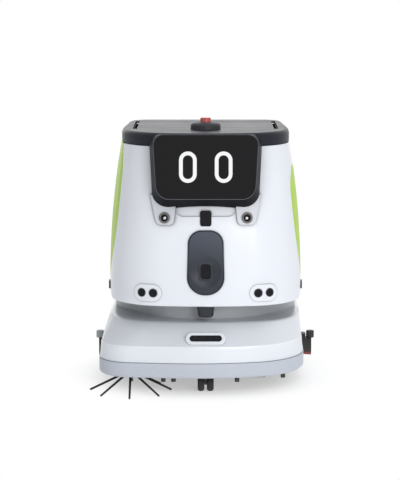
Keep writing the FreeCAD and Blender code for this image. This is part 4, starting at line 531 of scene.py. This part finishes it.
def seat(node, start, way):
    """Where a straight line from start meets a piece, and which way the piece faces there."""
    graph = bpy.context.evaluated_depsgraph_get()
    hit, place, normal, _ = nodes[node].ray_cast(Vector(start), Vector(way).normalized(), depsgraph=graph)
    if not hit:
        raise ValueError("the line misses " + node)
    return place, normal


FRONT, REAR, BELOW, BESIDE = -0.6, 0.5, -0.1, 0.4   # lines start here, outside the robot


def seat_front(node, x, z):
    return seat(node, (x, FRONT, z), (0, 1, 0))


# %% [markdown]
# ## Screws
#
# The rear service panel, the underside and the wheels are held by small screws with a round head and a
# socket. On the machine they are turned parts. Here a cylinder is given a sloping shoulder and a sunk
# socket by pushing its top face up, in and down again, which takes few nodes and leaves a closed solid.

# %% Screw tree
screw_tree, given = new_tree("socket_screw", {"Head Radius": 0.004, "Head Height": 0.002, "Sides": 24})
head = add_node(screw_tree, "GeometryNodeMeshCylinder", {
    "Vertices": given["Sides"], "Radius": given["Head Radius"], "Depth": given["Head Height"]})
shape, top = head.outputs["Mesh"], head.outputs["Top"]
PUSHES = ((0.35, 0.82), (0.0, 0.62), (-0.7, 0.94))   # rise in head heights, and width left
for rise, narrowing in PUSHES:
    push = times(screw_tree, given["Head Height"], rise)
    moved = add_node(screw_tree, "GeometryNodeExtrudeMesh", {
        "Mesh": shape, "Selection": top, "Offset Scale": push}, mode="FACES")
    top = moved.outputs["Top"]
    shape = add_node(screw_tree, "GeometryNodeScaleElements", {
        "Geometry": moved, "Selection": top, "Scale": narrowing})
end_tree(screw_tree, given, shape)

# %% Screws on the rear, the underside and the hubs
PANEL_SCREWS = [(x, z) for x in (-0.136, 0.136) for z in (0.302, 0.413, 0.524)]
COVER_SCREWS = [(x, z) for x in (-0.12, 0.12) for z in (0.245, 0.600)]
PLATE_SCREWS = [(0.150, -0.190), (-0.120, -0.190), (0.229, -0.038), (-0.229, -0.038), (0.215, 0.174),
                (-0.215, 0.174), (0.0, -0.165), (0.060, 0.020), (-0.060, 0.020)]
rear = [seat("service_panel", (x, REAR, z), (0, -1, 0)) for x, z in PANEL_SCREWS]
rear += [seat("rear_cover", (x, REAR, z), (0, -1, 0)) for x, z in COVER_SCREWS]
grow("rear_screws", screw_tree, "chassis", "bright_steel", rear, {"Head Radius": 0.0042, "Head Height": 0.0018})
under = [seat("chassis_plate", (x, y, BELOW), (0, 0, 1)) for x, y in PLATE_SCREWS]
grow("underside_screws", screw_tree, "chassis", "bright_steel", under, {"Head Radius": 0.005, "Head Height": 0.0024})

SIDES = (("left", 1), ("right", -1))
WHEEL_Y, WHEEL_Z = 0.070, 0.085
HUB_SCREWS, HUB_SCREW_REACH, FIRST_HUB_SCREW = 5, 0.022, math.radians(54.0)
for name, side in SIDES:
    spots = []
    for i in range(HUB_SCREWS):
        angle = FIRST_HUB_SCREW + 2 * math.pi * i / HUB_SCREWS
        y = WHEEL_Y + HUB_SCREW_REACH * math.cos(angle)
        z = WHEEL_Z + HUB_SCREW_REACH * math.sin(angle)
        spots.append(seat("drive_hub_" + name, (side * BESIDE, y, z), (-side, 0, 0)))
    grow("hub_screws_" + name, screw_tree, "drive_wheel_" + name, "bright_steel", spots,
         {"Head Radius": 0.0045, "Head Height": 0.003})

# %% [markdown]
# ## Wire grilles
#
# The four round echo sensors have a fine wire cloth in front of them, and the vents at the back have one
# behind them that keeps fluff out. A flat picture of a cloth would give itself away at an angle, so a grid is
# cut to a circle where needed, and each of its lines becomes a thin wire.

# %% Wire cloth tree
def thicken(tree, line, radius, sides):
    """Give a line a round section with closed ends."""
    section = add_node(tree, "GeometryNodeCurvePrimitiveCircle", {"Resolution": sides, "Radius": radius})
    return add_node(tree, "GeometryNodeCurveToMesh", {"Curve": line, "Profile Curve": section, "Fill Caps": True})


WIRE_SIDES = 4
cloth_tree, given = new_tree("wire_cloth", {
    "Width": 0.02, "Height": 0.02, "Wires X": 14, "Wires Y": 14, "Round To": 1.0, "Wire": 0.0002})
grid = add_node(cloth_tree, "GeometryNodeMeshGrid", {
    "Size X": given["Width"], "Size Y": given["Height"], "Vertices X": given["Wires X"],
    "Vertices Y": given["Wires Y"]})
spot = add_node(cloth_tree, "GeometryNodeInputPosition")
reach = add_node(cloth_tree, "ShaderNodeVectorMath", {0: spot}, operation="LENGTH").outputs["Value"]
outside = add_node(cloth_tree, "FunctionNodeCompare", {0: reach, 1: given["Round To"]}, operation="GREATER_THAN")
kept = add_node(cloth_tree, "GeometryNodeDeleteGeometry", {"Geometry": grid, "Selection": outside})
lines = add_node(cloth_tree, "GeometryNodeMeshToCurve", {"Mesh": kept})
end_tree(cloth_tree, given, thicken(cloth_tree, lines, given["Wire"], WIRE_SIDES))

# %% Grilles of the echo sensors and of the vents
SONAR_X, SONAR_APART, SONAR_Z, SONAR_OPEN = 0.148, 0.0145, 0.257, 0.0089
SONAR_LIFT = 0.0005           # the cloth stands this far off the sunk face
sonars = []
for x in (SONAR_X - SONAR_APART, SONAR_X + SONAR_APART):
    for side in (-1, 1):
        place, way = seat_front("sonar_transducers", side * x, SONAR_Z)
        sonars.append((place + way * SONAR_LIFT, way))
grow("sonar_cloth", cloth_tree, "chassis", "sensor_face", sonars, {
    "Width": 2 * SONAR_OPEN, "Height": 2 * SONAR_OPEN, "Wires X": 13, "Wires Y": 13, "Round To": SONAR_OPEN,
    "Wire": 0.00022}, finishes["black_plastic"])
VENT_MIDDLE, VENT_PITCH, VENT_DEEP = 0.463, 0.014, 0.2600
vents = [((0.0, VENT_DEEP, VENT_MIDDLE + VENT_PITCH * i), (0, 1, 0)) for i in range(-3, 4)]
grow("vent_cloth", cloth_tree, "chassis", "black_plastic", vents, {
    "Width": 0.168, "Height": 0.0056, "Wires X": 57, "Wires Y": 3, "Wire": 0.0003})

# %% [markdown]
# ## Bristles
#
# The side brush throws dust towards the roller with eight bunches of black nylon, and the roller carries
# short bunches set in two crossing spirals. A bunch starts as points spread like the seeds of a sunflower.
# Each point grows one filament that leans out a little towards its tip. The engineering model only has plain
# cones and a plain cylinder here, and the bunches stay inside them.

# %% Bristle tree: where the filaments stand
SUNFLOWER = math.radians(137.508)
tuft_tree, given = new_tree("bristle_tuft", {
    "Filaments": 40, "Length": 0.09, "Root Radius": 0.002, "Tip Radius": 0.0025, "Thickness": 0.0004,
    "Stray": 0.0004, "Sides": 4, "Steps": 5, "Seed": 3})
number = add_node(tuft_tree, "GeometryNodeInputIndex")
share = math_node(tuft_tree, "DIVIDE", math_node(tuft_tree, "ADD", number, 0.5), given["Filaments"])
reach = math_node(tuft_tree, "SQRT", share)
angle = times(tuft_tree, number, SUNFLOWER)
across = times(tuft_tree, reach, math_node(tuft_tree, "COSINE", angle))
along = times(tuft_tree, reach, math_node(tuft_tree, "SINE", angle))
seed_place = add_node(tuft_tree, "ShaderNodeCombineXYZ", {"X": across, "Y": along})
points = add_node(tuft_tree, "GeometryNodePoints", {"Count": given["Filaments"]})
marked = add_node(tuft_tree, "GeometryNodeStoreNamedAttribute", {
    "Geometry": points, "Name": "spread", "Value": seed_place}, data_type="FLOAT_VECTOR", domain="POINT")
print("sunflower turn", round(math.degrees(SUNFLOWER), 1), "degrees")

# %% Bristle tree: how the filaments lean
line = add_node(tuft_tree, "GeometryNodeCurvePrimitiveLine", {"End": (0.0, 0.0, 1.0)})
stepped = add_node(tuft_tree, "GeometryNodeResampleCurve", {"Curve": line, "Count": given["Steps"]})
bunch = add_node(tuft_tree, "GeometryNodeInstanceOnPoints", {"Points": marked, "Instance": stepped})
strands = add_node(tuft_tree, "GeometryNodeRealizeInstances", {"Geometry": bunch})
spread = add_node(tuft_tree, "GeometryNodeInputNamedAttribute", {"Name": "spread"}, data_type="FLOAT_VECTOR")
way_up = axis_part(tuft_tree, add_node(tuft_tree, "GeometryNodeInputPosition"), "Z")
wide = ranged(tuft_tree, way_up, new=(given["Root Radius"], given["Tip Radius"]))
leaning = scale_vector(tuft_tree, spread, wide)
strand = add_node(tuft_tree, "GeometryNodeFieldOnDomain", {0: number}, data_type="INT", domain="CURVE")
stray = add_node(tuft_tree, "FunctionNodeRandomValue", {
    0: (-1.0, -1.0, 0.0), 1: (1.0, 1.0, 0.0), "ID": strand, "Seed": given["Seed"]}, data_type="FLOAT_VECTOR")
bend = times(tuft_tree, math_node(tuft_tree, "POWER", way_up, 2.0), given["Stray"])
strayed = scale_vector(tuft_tree, stray, bend)
rise = add_node(tuft_tree, "ShaderNodeCombineXYZ", {"Z": times(tuft_tree, way_up, given["Length"])})
lean = add_node(tuft_tree, "ShaderNodeVectorMath", {0: leaning, 1: strayed}, operation="ADD")
target = add_node(tuft_tree, "ShaderNodeVectorMath", {0: lean, 1: rise}, operation="ADD")
placed = add_node(tuft_tree, "GeometryNodeSetPosition", {"Geometry": strands, "Position": target})
end_tree(tuft_tree, given, thicken(tuft_tree, placed, given["Thickness"], given["Sides"]))

# %% Bristles of the side brush
SIDE_BRUSH = Vector((-0.192, -0.219, 0.0))
SIDE_TUFTS = 8
SIDE_ROOT = (0.016, 0.0462)   # reach and height of a bunch's root
SIDE_TIP = (0.1045, 0.0034)
tufts = []
for i in range(SIDE_TUFTS):
    angle = 2 * math.pi * i / SIDE_TUFTS
    out = Vector((math.cos(angle), math.sin(angle), 0.0))
    root = SIDE_BRUSH + out * SIDE_ROOT[0] + Vector((0, 0, SIDE_ROOT[1]))
    tip = SIDE_BRUSH + out * SIDE_TIP[0] + Vector((0, 0, SIDE_TIP[1]))
    tufts.append((root, (tip - root).normalized()))
side_length = (tip - root).length
brush = grow("side_brush_filaments", tuft_tree, "side_brush", "bristle_black", tufts, {
    "Filaments": 52, "Length": side_length, "Root Radius": 0.0027, "Tip Radius": 0.0021, "Thickness": 0.00065,
    "Stray": 0.0004})
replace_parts(brush, "side_brush_bristles")

# %% Bristles of the roller
ROLLER_Y, ROLLER_Z, ROLLER_CORE, ROLLER_R, ROLLER_HALF = -0.058, 0.0426, 0.0195, 0.0418, 0.155
ROLLER_ROWS, ROLLER_RING, ROLLER_TWIST = 46, 14, math.radians(9.0)
tufts = []
for row in range(ROLLER_ROWS):
    x = ROLLER_HALF * (2.0 * row / (ROLLER_ROWS - 1) - 1.0)
    for i in range(ROLLER_RING):
        angle = 2 * math.pi * i / ROLLER_RING + ROLLER_TWIST * row * (1 if i % 2 else -1)
        way = Vector((0.0, math.cos(angle), math.sin(angle)))
        tufts.append((Vector((x, ROLLER_Y, ROLLER_Z)) + way * ROLLER_CORE, way))
brush = grow("roller_filaments", tuft_tree, "roller", "roller_blue", tufts, {
    "Filaments": 7, "Length": ROLLER_R - ROLLER_CORE, "Root Radius": 0.0010, "Tip Radius": 0.0030,
    "Thickness": 0.00045, "Stray": 0.0006, "Sides": 3, "Steps": 3})
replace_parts(brush, "roller_bristles")

# %% [markdown]
# ## Turned pieces: tyres, bellows and lens rings
#
# Many parts of the robot are round about an axis. A lathe turns one half section into a closed solid, so
# one helper serves the tyres, the folded suction hose and the small rings round the lenses.

# %% Lathe helper
def lathe(name, section, places, material, steps=48, closed=False):
    """Solid with the given half section, a list of radius and height, at every place, turned to its facing."""
    work = bmesh.new()
    for place, facing in places:
        turn = Vector((0, 0, 1)).rotation_difference(Vector(facing))
        rings = []
        for radius, height in section:
            count = steps if radius > 0 else 1
            angles = [2 * math.pi * i / count for i in range(count)]
            ring = [Vector((radius * math.cos(a), radius * math.sin(a), height)) for a in angles]
            rings.append([work.verts.new(Vector(place) + turn @ corner) for corner in ring])
        following = rings[1:] + rings[:1] if closed else rings[1:]
        for low, high in zip(rings, following):
            for i in range(steps):
                corners = (low[i % len(low)], low[(i + 1) % len(low)], high[(i + 1) % len(high)], high[i % len(high)])
                work.faces.new(dict.fromkeys(corners))
    bmesh.ops.recalc_face_normals(work, faces=work.faces)
    mesh = bpy.data.meshes.new(name)
    work.to_mesh(mesh)
    work.free()
    mesh.materials.append(material)
    return add_object(name, mesh)


# %% [markdown]
# The drive tyres are rubber rings with two rows of slanted blocks. The ring comes from the lathe, and the
# blocks are one tapered cube repeated round it. The blocks end just inside the tyre of the engineering
# model, so the robot still stands on the floor.

# %% Tread tree
TREAD_TAPER = 0.84            # a block's top against its foot
tread_tree, given = new_tree("tread_block", {"Width": 0.017, "Length": 0.010, "Height": 0.005, "Slant": 0.3})
size = add_node(tread_tree, "ShaderNodeCombineXYZ", {"X": given["Width"], "Y": given["Length"], "Z": given["Height"]})
cube = add_node(tread_tree, "GeometryNodeMeshCube", {"Size": size})
up = axis_part(tread_tree, add_node(tread_tree, "GeometryNodeInputNormal"), "Z")
top = add_node(tread_tree, "FunctionNodeCompare", {0: up, 1: 0.5}, operation="GREATER_THAN")
tapered = add_node(tread_tree, "GeometryNodeScaleElements", {
    "Geometry": cube, "Selection": top, "Scale": TREAD_TAPER})
slanted = add_node(tread_tree, "ShaderNodeCombineXYZ", {"Z": given["Slant"]})
turned = add_node(tread_tree, "GeometryNodeTransform", {"Geometry": tapered, "Rotation": slanted})
end_tree(tread_tree, given, turned)

# %% Drive tyres
WHEEL_X = 0.205
TYRE_IN, TYRE_OUT, TYRE_HALF = 0.0660, 0.0810, 0.0200
TYRE_ROUND, ROUND_STEPS = 0.006, 4
TREAD_BLOCKS, TREAD_HEIGHT, TREAD_TOP = 40, 0.0060, 0.0848
TREAD_ROW = 0.0092            # from the tyre's middle to the middle of a row
TREAD_STAGGER, TREAD_SLANT = 0.25, 0.35
section = [(TYRE_IN, -TYRE_HALF)]
for side in (-1, 1):
    for i in range(ROUND_STEPS + 1):
        bow = math.pi / 2 * (i if side < 0 else ROUND_STEPS - i) / ROUND_STEPS
        radius = TYRE_OUT - TYRE_ROUND + TYRE_ROUND * math.sin(bow)
        section.append((radius, side * (TYRE_HALF - TYRE_ROUND + TYRE_ROUND * math.cos(bow))))
section.append((TYRE_IN, TYRE_HALF))
for name, side in SIDES:
    axle = Vector((side * WHEEL_X, WHEEL_Y, WHEEL_Z))
    body = "drive_wheel_" + name
    tyre = lathe("tyre_" + name, section, [(axle, (1, 0, 0))], finishes["tyre_black"], 96, True)
    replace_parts(settle(tyre, body), "drive_tyre_" + name)
    for row in (-1, 1):
        blocks = []
        for i in range(TREAD_BLOCKS):
            angle = 2 * math.pi * (i + TREAD_STAGGER * row) / TREAD_BLOCKS
            way = Vector((0.0, math.cos(angle), math.sin(angle)))
            middle = axle + Vector((row * TREAD_ROW, 0, 0))
            blocks.append((middle + way * (TREAD_TOP - TREAD_HEIGHT / 2), way))
        label = "inner" if row * side < 0 else "outer"
        grow("tread_" + name + "_" + label, tread_tree, body, "tyre_black", blocks, {
            "Width": 0.0165, "Length": 0.0078, "Height": TREAD_HEIGHT, "Slant": TREAD_SLANT * row})

# %% [markdown]
# The suction hose is a soft rubber bellows between the lifting squeegee and the elbow on the body. Its half
# section swings in and out six times.

# %% Suction bellows
BELLOWS_Y, BELLOWS_LOW, BELLOWS_HIGH = 0.294, 0.0722, 0.1218
BELLOWS_OUT, BELLOWS_DEEP, BELLOWS_WALL, BELLOWS_FOLDS = 0.0238, 0.0036, 0.0016, 6
BELLOWS_STEPS = 60
BELLOWS_FULL = 0.7            # under 1, folds are round outside and narrow inside
outer = []
for i in range(BELLOWS_STEPS + 1):
    share = i / BELLOWS_STEPS
    swing = 0.5 - 0.5 * math.cos(2 * math.pi * BELLOWS_FOLDS * share)
    radius = BELLOWS_OUT - BELLOWS_DEEP * (1.0 - swing ** BELLOWS_FULL)
    outer.append((radius, BELLOWS_LOW + share * (BELLOWS_HIGH - BELLOWS_LOW)))
inner = [(radius - BELLOWS_WALL, height) for radius, height in reversed(outer)]
bellows = lathe("suction_hose", outer + inner, [((0.0, BELLOWS_Y, 0.0), (0, 0, 1))], finishes["hose_black"], 48, True)
bellows.data.shade_smooth()
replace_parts(bellows, "suction_bellows")
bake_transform(bellows)
print(bellows.name, len(bellows.data.polygons), "faces")

# %% [markdown]
# ## The face
#
# The screen shows two plain closed rings as eyes. On the machine they are drawn by the display. Here they are
# thin solids on the cover, whose material gives off light in a fine grid of picture points, so they stay
# sharp at any distance.

# %% Light of the eyes
PIXELS_PER_METRE = 900.0
PIXEL_GAP, GAP_GLOW = 0.12, (0.60, 0.63, 0.68, 1.0)
EYE_STRENGTH = 0.95
eye_light = bpy.data.materials.new("lit_eyes")
eye_light.use_nodes = True
tree = eye_light.node_tree
surface = tree.nodes["Principled BSDF"]
surface.inputs["Base Color"].default_value = (0.02, 0.02, 0.02, 1.0)
surface.inputs["Roughness"].default_value = 0.2
cells = add_node(tree, "ShaderNodeVectorMath", {
    0: object_place(tree), 1: (PIXELS_PER_METRE,) * 3}, operation="MULTIPLY")
cells = add_node(tree, "ShaderNodeVectorMath", {0: cells}, operation="FRACTION")
cell = add_node(tree, "ShaderNodeSeparateXYZ", {0: cells})
lit_x = math_node(tree, "GREATER_THAN", cell.outputs["X"], PIXEL_GAP)
lit_z = math_node(tree, "GREATER_THAN", cell.outputs["Z"], PIXEL_GAP)
lit = times(tree, lit_x, lit_z)
glow = add_node(tree, "ShaderNodeMix", {"Factor": lit, 6: GAP_GLOW, 7: WHITE}, data_type="RGBA")
tree.links.new(glow.outputs[2], surface.inputs["Emission Color"])
surface.inputs["Emission Strength"].default_value = EYE_STRENGTH
print(eye_light.name, "with", PIXELS_PER_METRE, "points in a metre")

# %% Rings of the eyes
NEARLY_HALF = 0.499           # a full half would leave edges of no length
ring_tree, given = new_tree("stadium_ring", {"Width": 0.047, "Height": 0.08, "Stroke": 0.012, "Depth": 0.0003})
outlines = add_node(ring_tree, "GeometryNodeJoinGeometry")
for strokes in (0.0, 2.0):
    less = times(ring_tree, given["Stroke"], strokes)
    wide = math_node(ring_tree, "SUBTRACT", given["Width"], less)
    tall = math_node(ring_tree, "SUBTRACT", given["Height"], less)
    frame_line = add_node(ring_tree, "GeometryNodeCurvePrimitiveQuadrilateral", {"Width": wide, "Height": tall})
    bow = times(ring_tree, wide, NEARLY_HALF)
    rounded = add_node(ring_tree, "GeometryNodeFilletCurve", {
        "Curve": frame_line, "Count": 14, "Radius": bow}, mode="POLY")
    ring_tree.links.new(rounded.outputs[0], outlines.inputs[0])
flat = add_node(ring_tree, "GeometryNodeFillCurve", {"Curve": outlines})
thick = add_node(ring_tree, "GeometryNodeExtrudeMesh", {
    "Mesh": flat, "Offset Scale": given["Depth"], "Individual": False}, mode="FACES")
back = add_node(ring_tree, "GeometryNodeFlipFaces", {"Mesh": flat})
both = add_node(ring_tree, "GeometryNodeJoinGeometry")
ring_tree.links.new(thick.outputs["Mesh"], both.inputs[0])
ring_tree.links.new(back.outputs[0], both.inputs[0])
welded = add_node(ring_tree, "GeometryNodeMergeByDistance", {"Geometry": both, "Distance": 1e-5})
end_tree(ring_tree, given, welded)

EYE_APART, EYE_Z = 0.0450, 0.5788
eyes = [seat_front("screen_glass", side * EYE_APART, EYE_Z) for side in (-1, 1)]
grow("screen_eyes", ring_tree, "chassis", "screen_black", eyes, {
    "Width": 0.0445, "Height": 0.0790, "Stroke": 0.0095, "Depth": 0.0003}, eye_light)

# %% [markdown]
# The front lens of each stereo camera is a dark dome with a small bright spot where its coating throws the
# light back. A real reflection would move with every lamp, so the spot is a painted highlight: a thin cap of
# bright steel. The depth camera in the nose has four small lens rings on its window. Caps and rings are round,
# so the lathe makes them.

# %% Painted highlight caps on the lenses, and small lenses
SPOT_R, SPOT_RISE = 0.0040, 0.0004
LENS_X, LENS_Z = 0.104, 0.4485
spots = [seat_front("camera_lenses", side * LENS_X, LENS_Z) for side in (-1, 1)]
dome = [(0.0, -SPOT_RISE), (SPOT_R, -SPOT_RISE), (SPOT_R * 0.7, SPOT_RISE * 0.6), (0.0, SPOT_RISE)]
# Painted highlight: a bright steel cap on each lens stands in for the lamps' reflection.
settle(lathe("lens_highlight_spots", dome, spots, finishes["bright_steel"], 32), "chassis")

DEPTH_Z, DEPTH_LENSES = 0.1455, (-0.029, -0.012, 0.012, 0.029)
eyelet = [(0.0022, -0.0004), (0.0048, -0.0004), (0.0048, 0.0003), (0.0040, 0.0005), (0.0022, 0.0001)]
small = [seat_front("sensor_windows", x, DEPTH_Z) for x in DEPTH_LENSES]
settle(lathe("depth_lens_rings", eyelet, small, finishes["black_plastic"], 32, True), "chassis")

# %% [markdown]
# ## Trim
#
# A thin grey bead runs round the display cover as a painted highlight: it stands in for the light line along
# the edge of the cover's frame. A dark seal runs round the sensor panel, and soft rubber edging beside the
# finger slots of the lid, whose matt black also paints the shade of the slots. On the machine the seal and the
# edging are extruded rubber pressed into a groove. Here each one is a line of points that Geometry Nodes
# gives a round section, so that one tree serves them all.

# %% Bead tree and outline helper
bead_tree, given = new_tree("trim_bead", {"Radius": 0.001, "Sides": 10})
line = add_node(bead_tree, "GeometryNodeMeshToCurve", {"Mesh": given["Geometry"]})
close_tree(bead_tree, given, thicken(bead_tree, line, given["Radius"], given["Sides"]))


def rounded_outline(corners, steps=10):
    """Points along a closed outline. Each corner is (across, up, radius), in order round the outline."""
    points = []
    for i, (x, y, radius) in enumerate(corners):
        corner = Vector((x, y))
        before = (Vector(corners[i - 1][:2]) - corner).normalized()
        after = (Vector(corners[(i + 1) % len(corners)][:2]) - corner).normalized()
        half = before.angle(after) / 2
        middle = corner + (before + after).normalized() * radius / math.sin(half)
        start, end = corner + before * radius / math.tan(half), corner + after * radius / math.tan(half)
        for step in range(steps + 1):
            way = (start.lerp(end, step / steps) - middle).normalized()
            points.append(middle + way * radius)
    return points


def chain(count, closed=False, first=0):
    """Links from each point to the next, and from the last to the first in a closed line."""
    links = [(first + i, first + i + 1) for i in range(count - 1)]
    return links + [(first + count - 1, first)] if closed else links


# %% Painted highlight bead round the display cover, and seal round the sensor panel
# Painted highlight: a grey bead stands in for the light line along the edge of the screen's frame.
painted_highlight_grey = finish("painted_highlight_grey", (0.10, 0.105, 0.115), 0.42, 900.0, 0.05, 0.1, 0.0, specular=DIM)
SCREEN_SPOT, SCREEN_TILT = Vector((0.0, -0.2296, 0.568)), math.radians(10.0)
SCREEN_FRONT = 0.0094         # how far the middle of the bead stands ahead of the screen's own middle
up = Vector((0.0, math.sin(SCREEN_TILT), math.cos(SCREEN_TILT)))
ahead = Vector((0.0, -math.cos(SCREEN_TILT), math.sin(SCREEN_TILT)))
outline = rounded_outline([(-0.1245, -0.072, 0.0345), (0.1245, -0.072, 0.0345),
                           (0.1345, 0.091, 0.0255), (-0.1345, 0.091, 0.0255)])
bead = [(SCREEN_SPOT + Vector((p.x, 0, 0)) + up * p.y + ahead * SCREEN_FRONT, ahead) for p in outline]
grow("screen_highlight_bead", bead_tree, "chassis", "black_plastic", bead, {"Radius": 0.0011}, painted_highlight_grey,
     chain(len(bead), True))

PILL_Z, SEAL_R = 0.3356, 0.0016
SEAL_SUNK = 0.7               # share of its radius that is pressed into the panel
outline = rounded_outline([(-0.0462, -0.0806, 0.0424), (0.0462, -0.0806, 0.0424),
                           (0.0422, 0.0806, 0.0324), (-0.0422, 0.0806, 0.0324)])
seal = []
for p in outline:
    place, facing = seat_front("sensor_panel", p.x, PILL_Z + p.y)
    seal.append((place - facing * SEAL_R * SEAL_SUNK, facing))
grow("panel_seal", bead_tree, "chassis", "black_plastic", seal, {"Radius": SEAL_R},
     links=chain(len(seal), True))

# %% Edging beside the finger slots, with painted shade of the slots
EDGING = [(0.188, 0.190), (0.188, -0.044), (0.1868, -0.0472), (0.1838, -0.0486), (0.178, -0.0488)]
EDGING_R, EDGING_Z = 0.0020, 0.6592
edging, links = [], []
for side in (-1, 1):
    links += chain(len(EDGING), first=len(edging))
    edging += [((side * x, y, EDGING_Z), (0, 0, 1)) for x, y in EDGING]
# Partly painted shade: the matt black edging also stands in for the shade inside the finger slots.
black_rubber_and_slot_shade = finish("black_rubber_and_slot_shade", (0.006, 0.006, 0.007), 0.95, 900.0, 0.05, 0.1, 0.0, wear=0.0, specular=0.02)
grow("slot_edging_and_shade", bead_tree, "chassis", "hose_black", edging, {"Radius": EDGING_R}, black_rubber_and_slot_shade, links)

# %% [markdown]
# The front of the base has a fold where the sloping nose meets the upright band. A slim lip of brighter white
# runs along it as a painted highlight, the light line that the fold catches. Its path comes from level lines
# cast at the base from all round the front.

# %% Painted highlight lip along the fold of the base
FOLD_MIDDLE, FOLD_R, FOLD_PROUD = Vector((0.0, -0.05, 0.1262)), 0.0022, 0.0006
FOLD_SWEEP, FOLD_STEPS = math.radians(64.0), 72
# Painted highlight: the lip is whiter than the base so that it reads as the fold's light line.
fold_highlight_white = finish("fold_highlight_white", (0.94, 0.955, 0.98), 0.22, 700.0, 0.02, 0.05, 0.0, wear=0.0, Coat_Weight=0.5)
fold = []
for i in range(FOLD_STEPS + 1):
    turn = FOLD_SWEEP * (2 * i / FOLD_STEPS - 1)
    way = Vector((math.sin(turn), -math.cos(turn), 0.0))
    place, facing = seat("base_shell", FOLD_MIDDLE - way * FRONT, -way)
    fold.append((place - facing * (FOLD_R - FOLD_PROUD), facing))
grow("fold_highlight_lip", bead_tree, "chassis", "pale_base", fold, {"Radius": FOLD_R}, fold_highlight_white, chain(len(fold)))
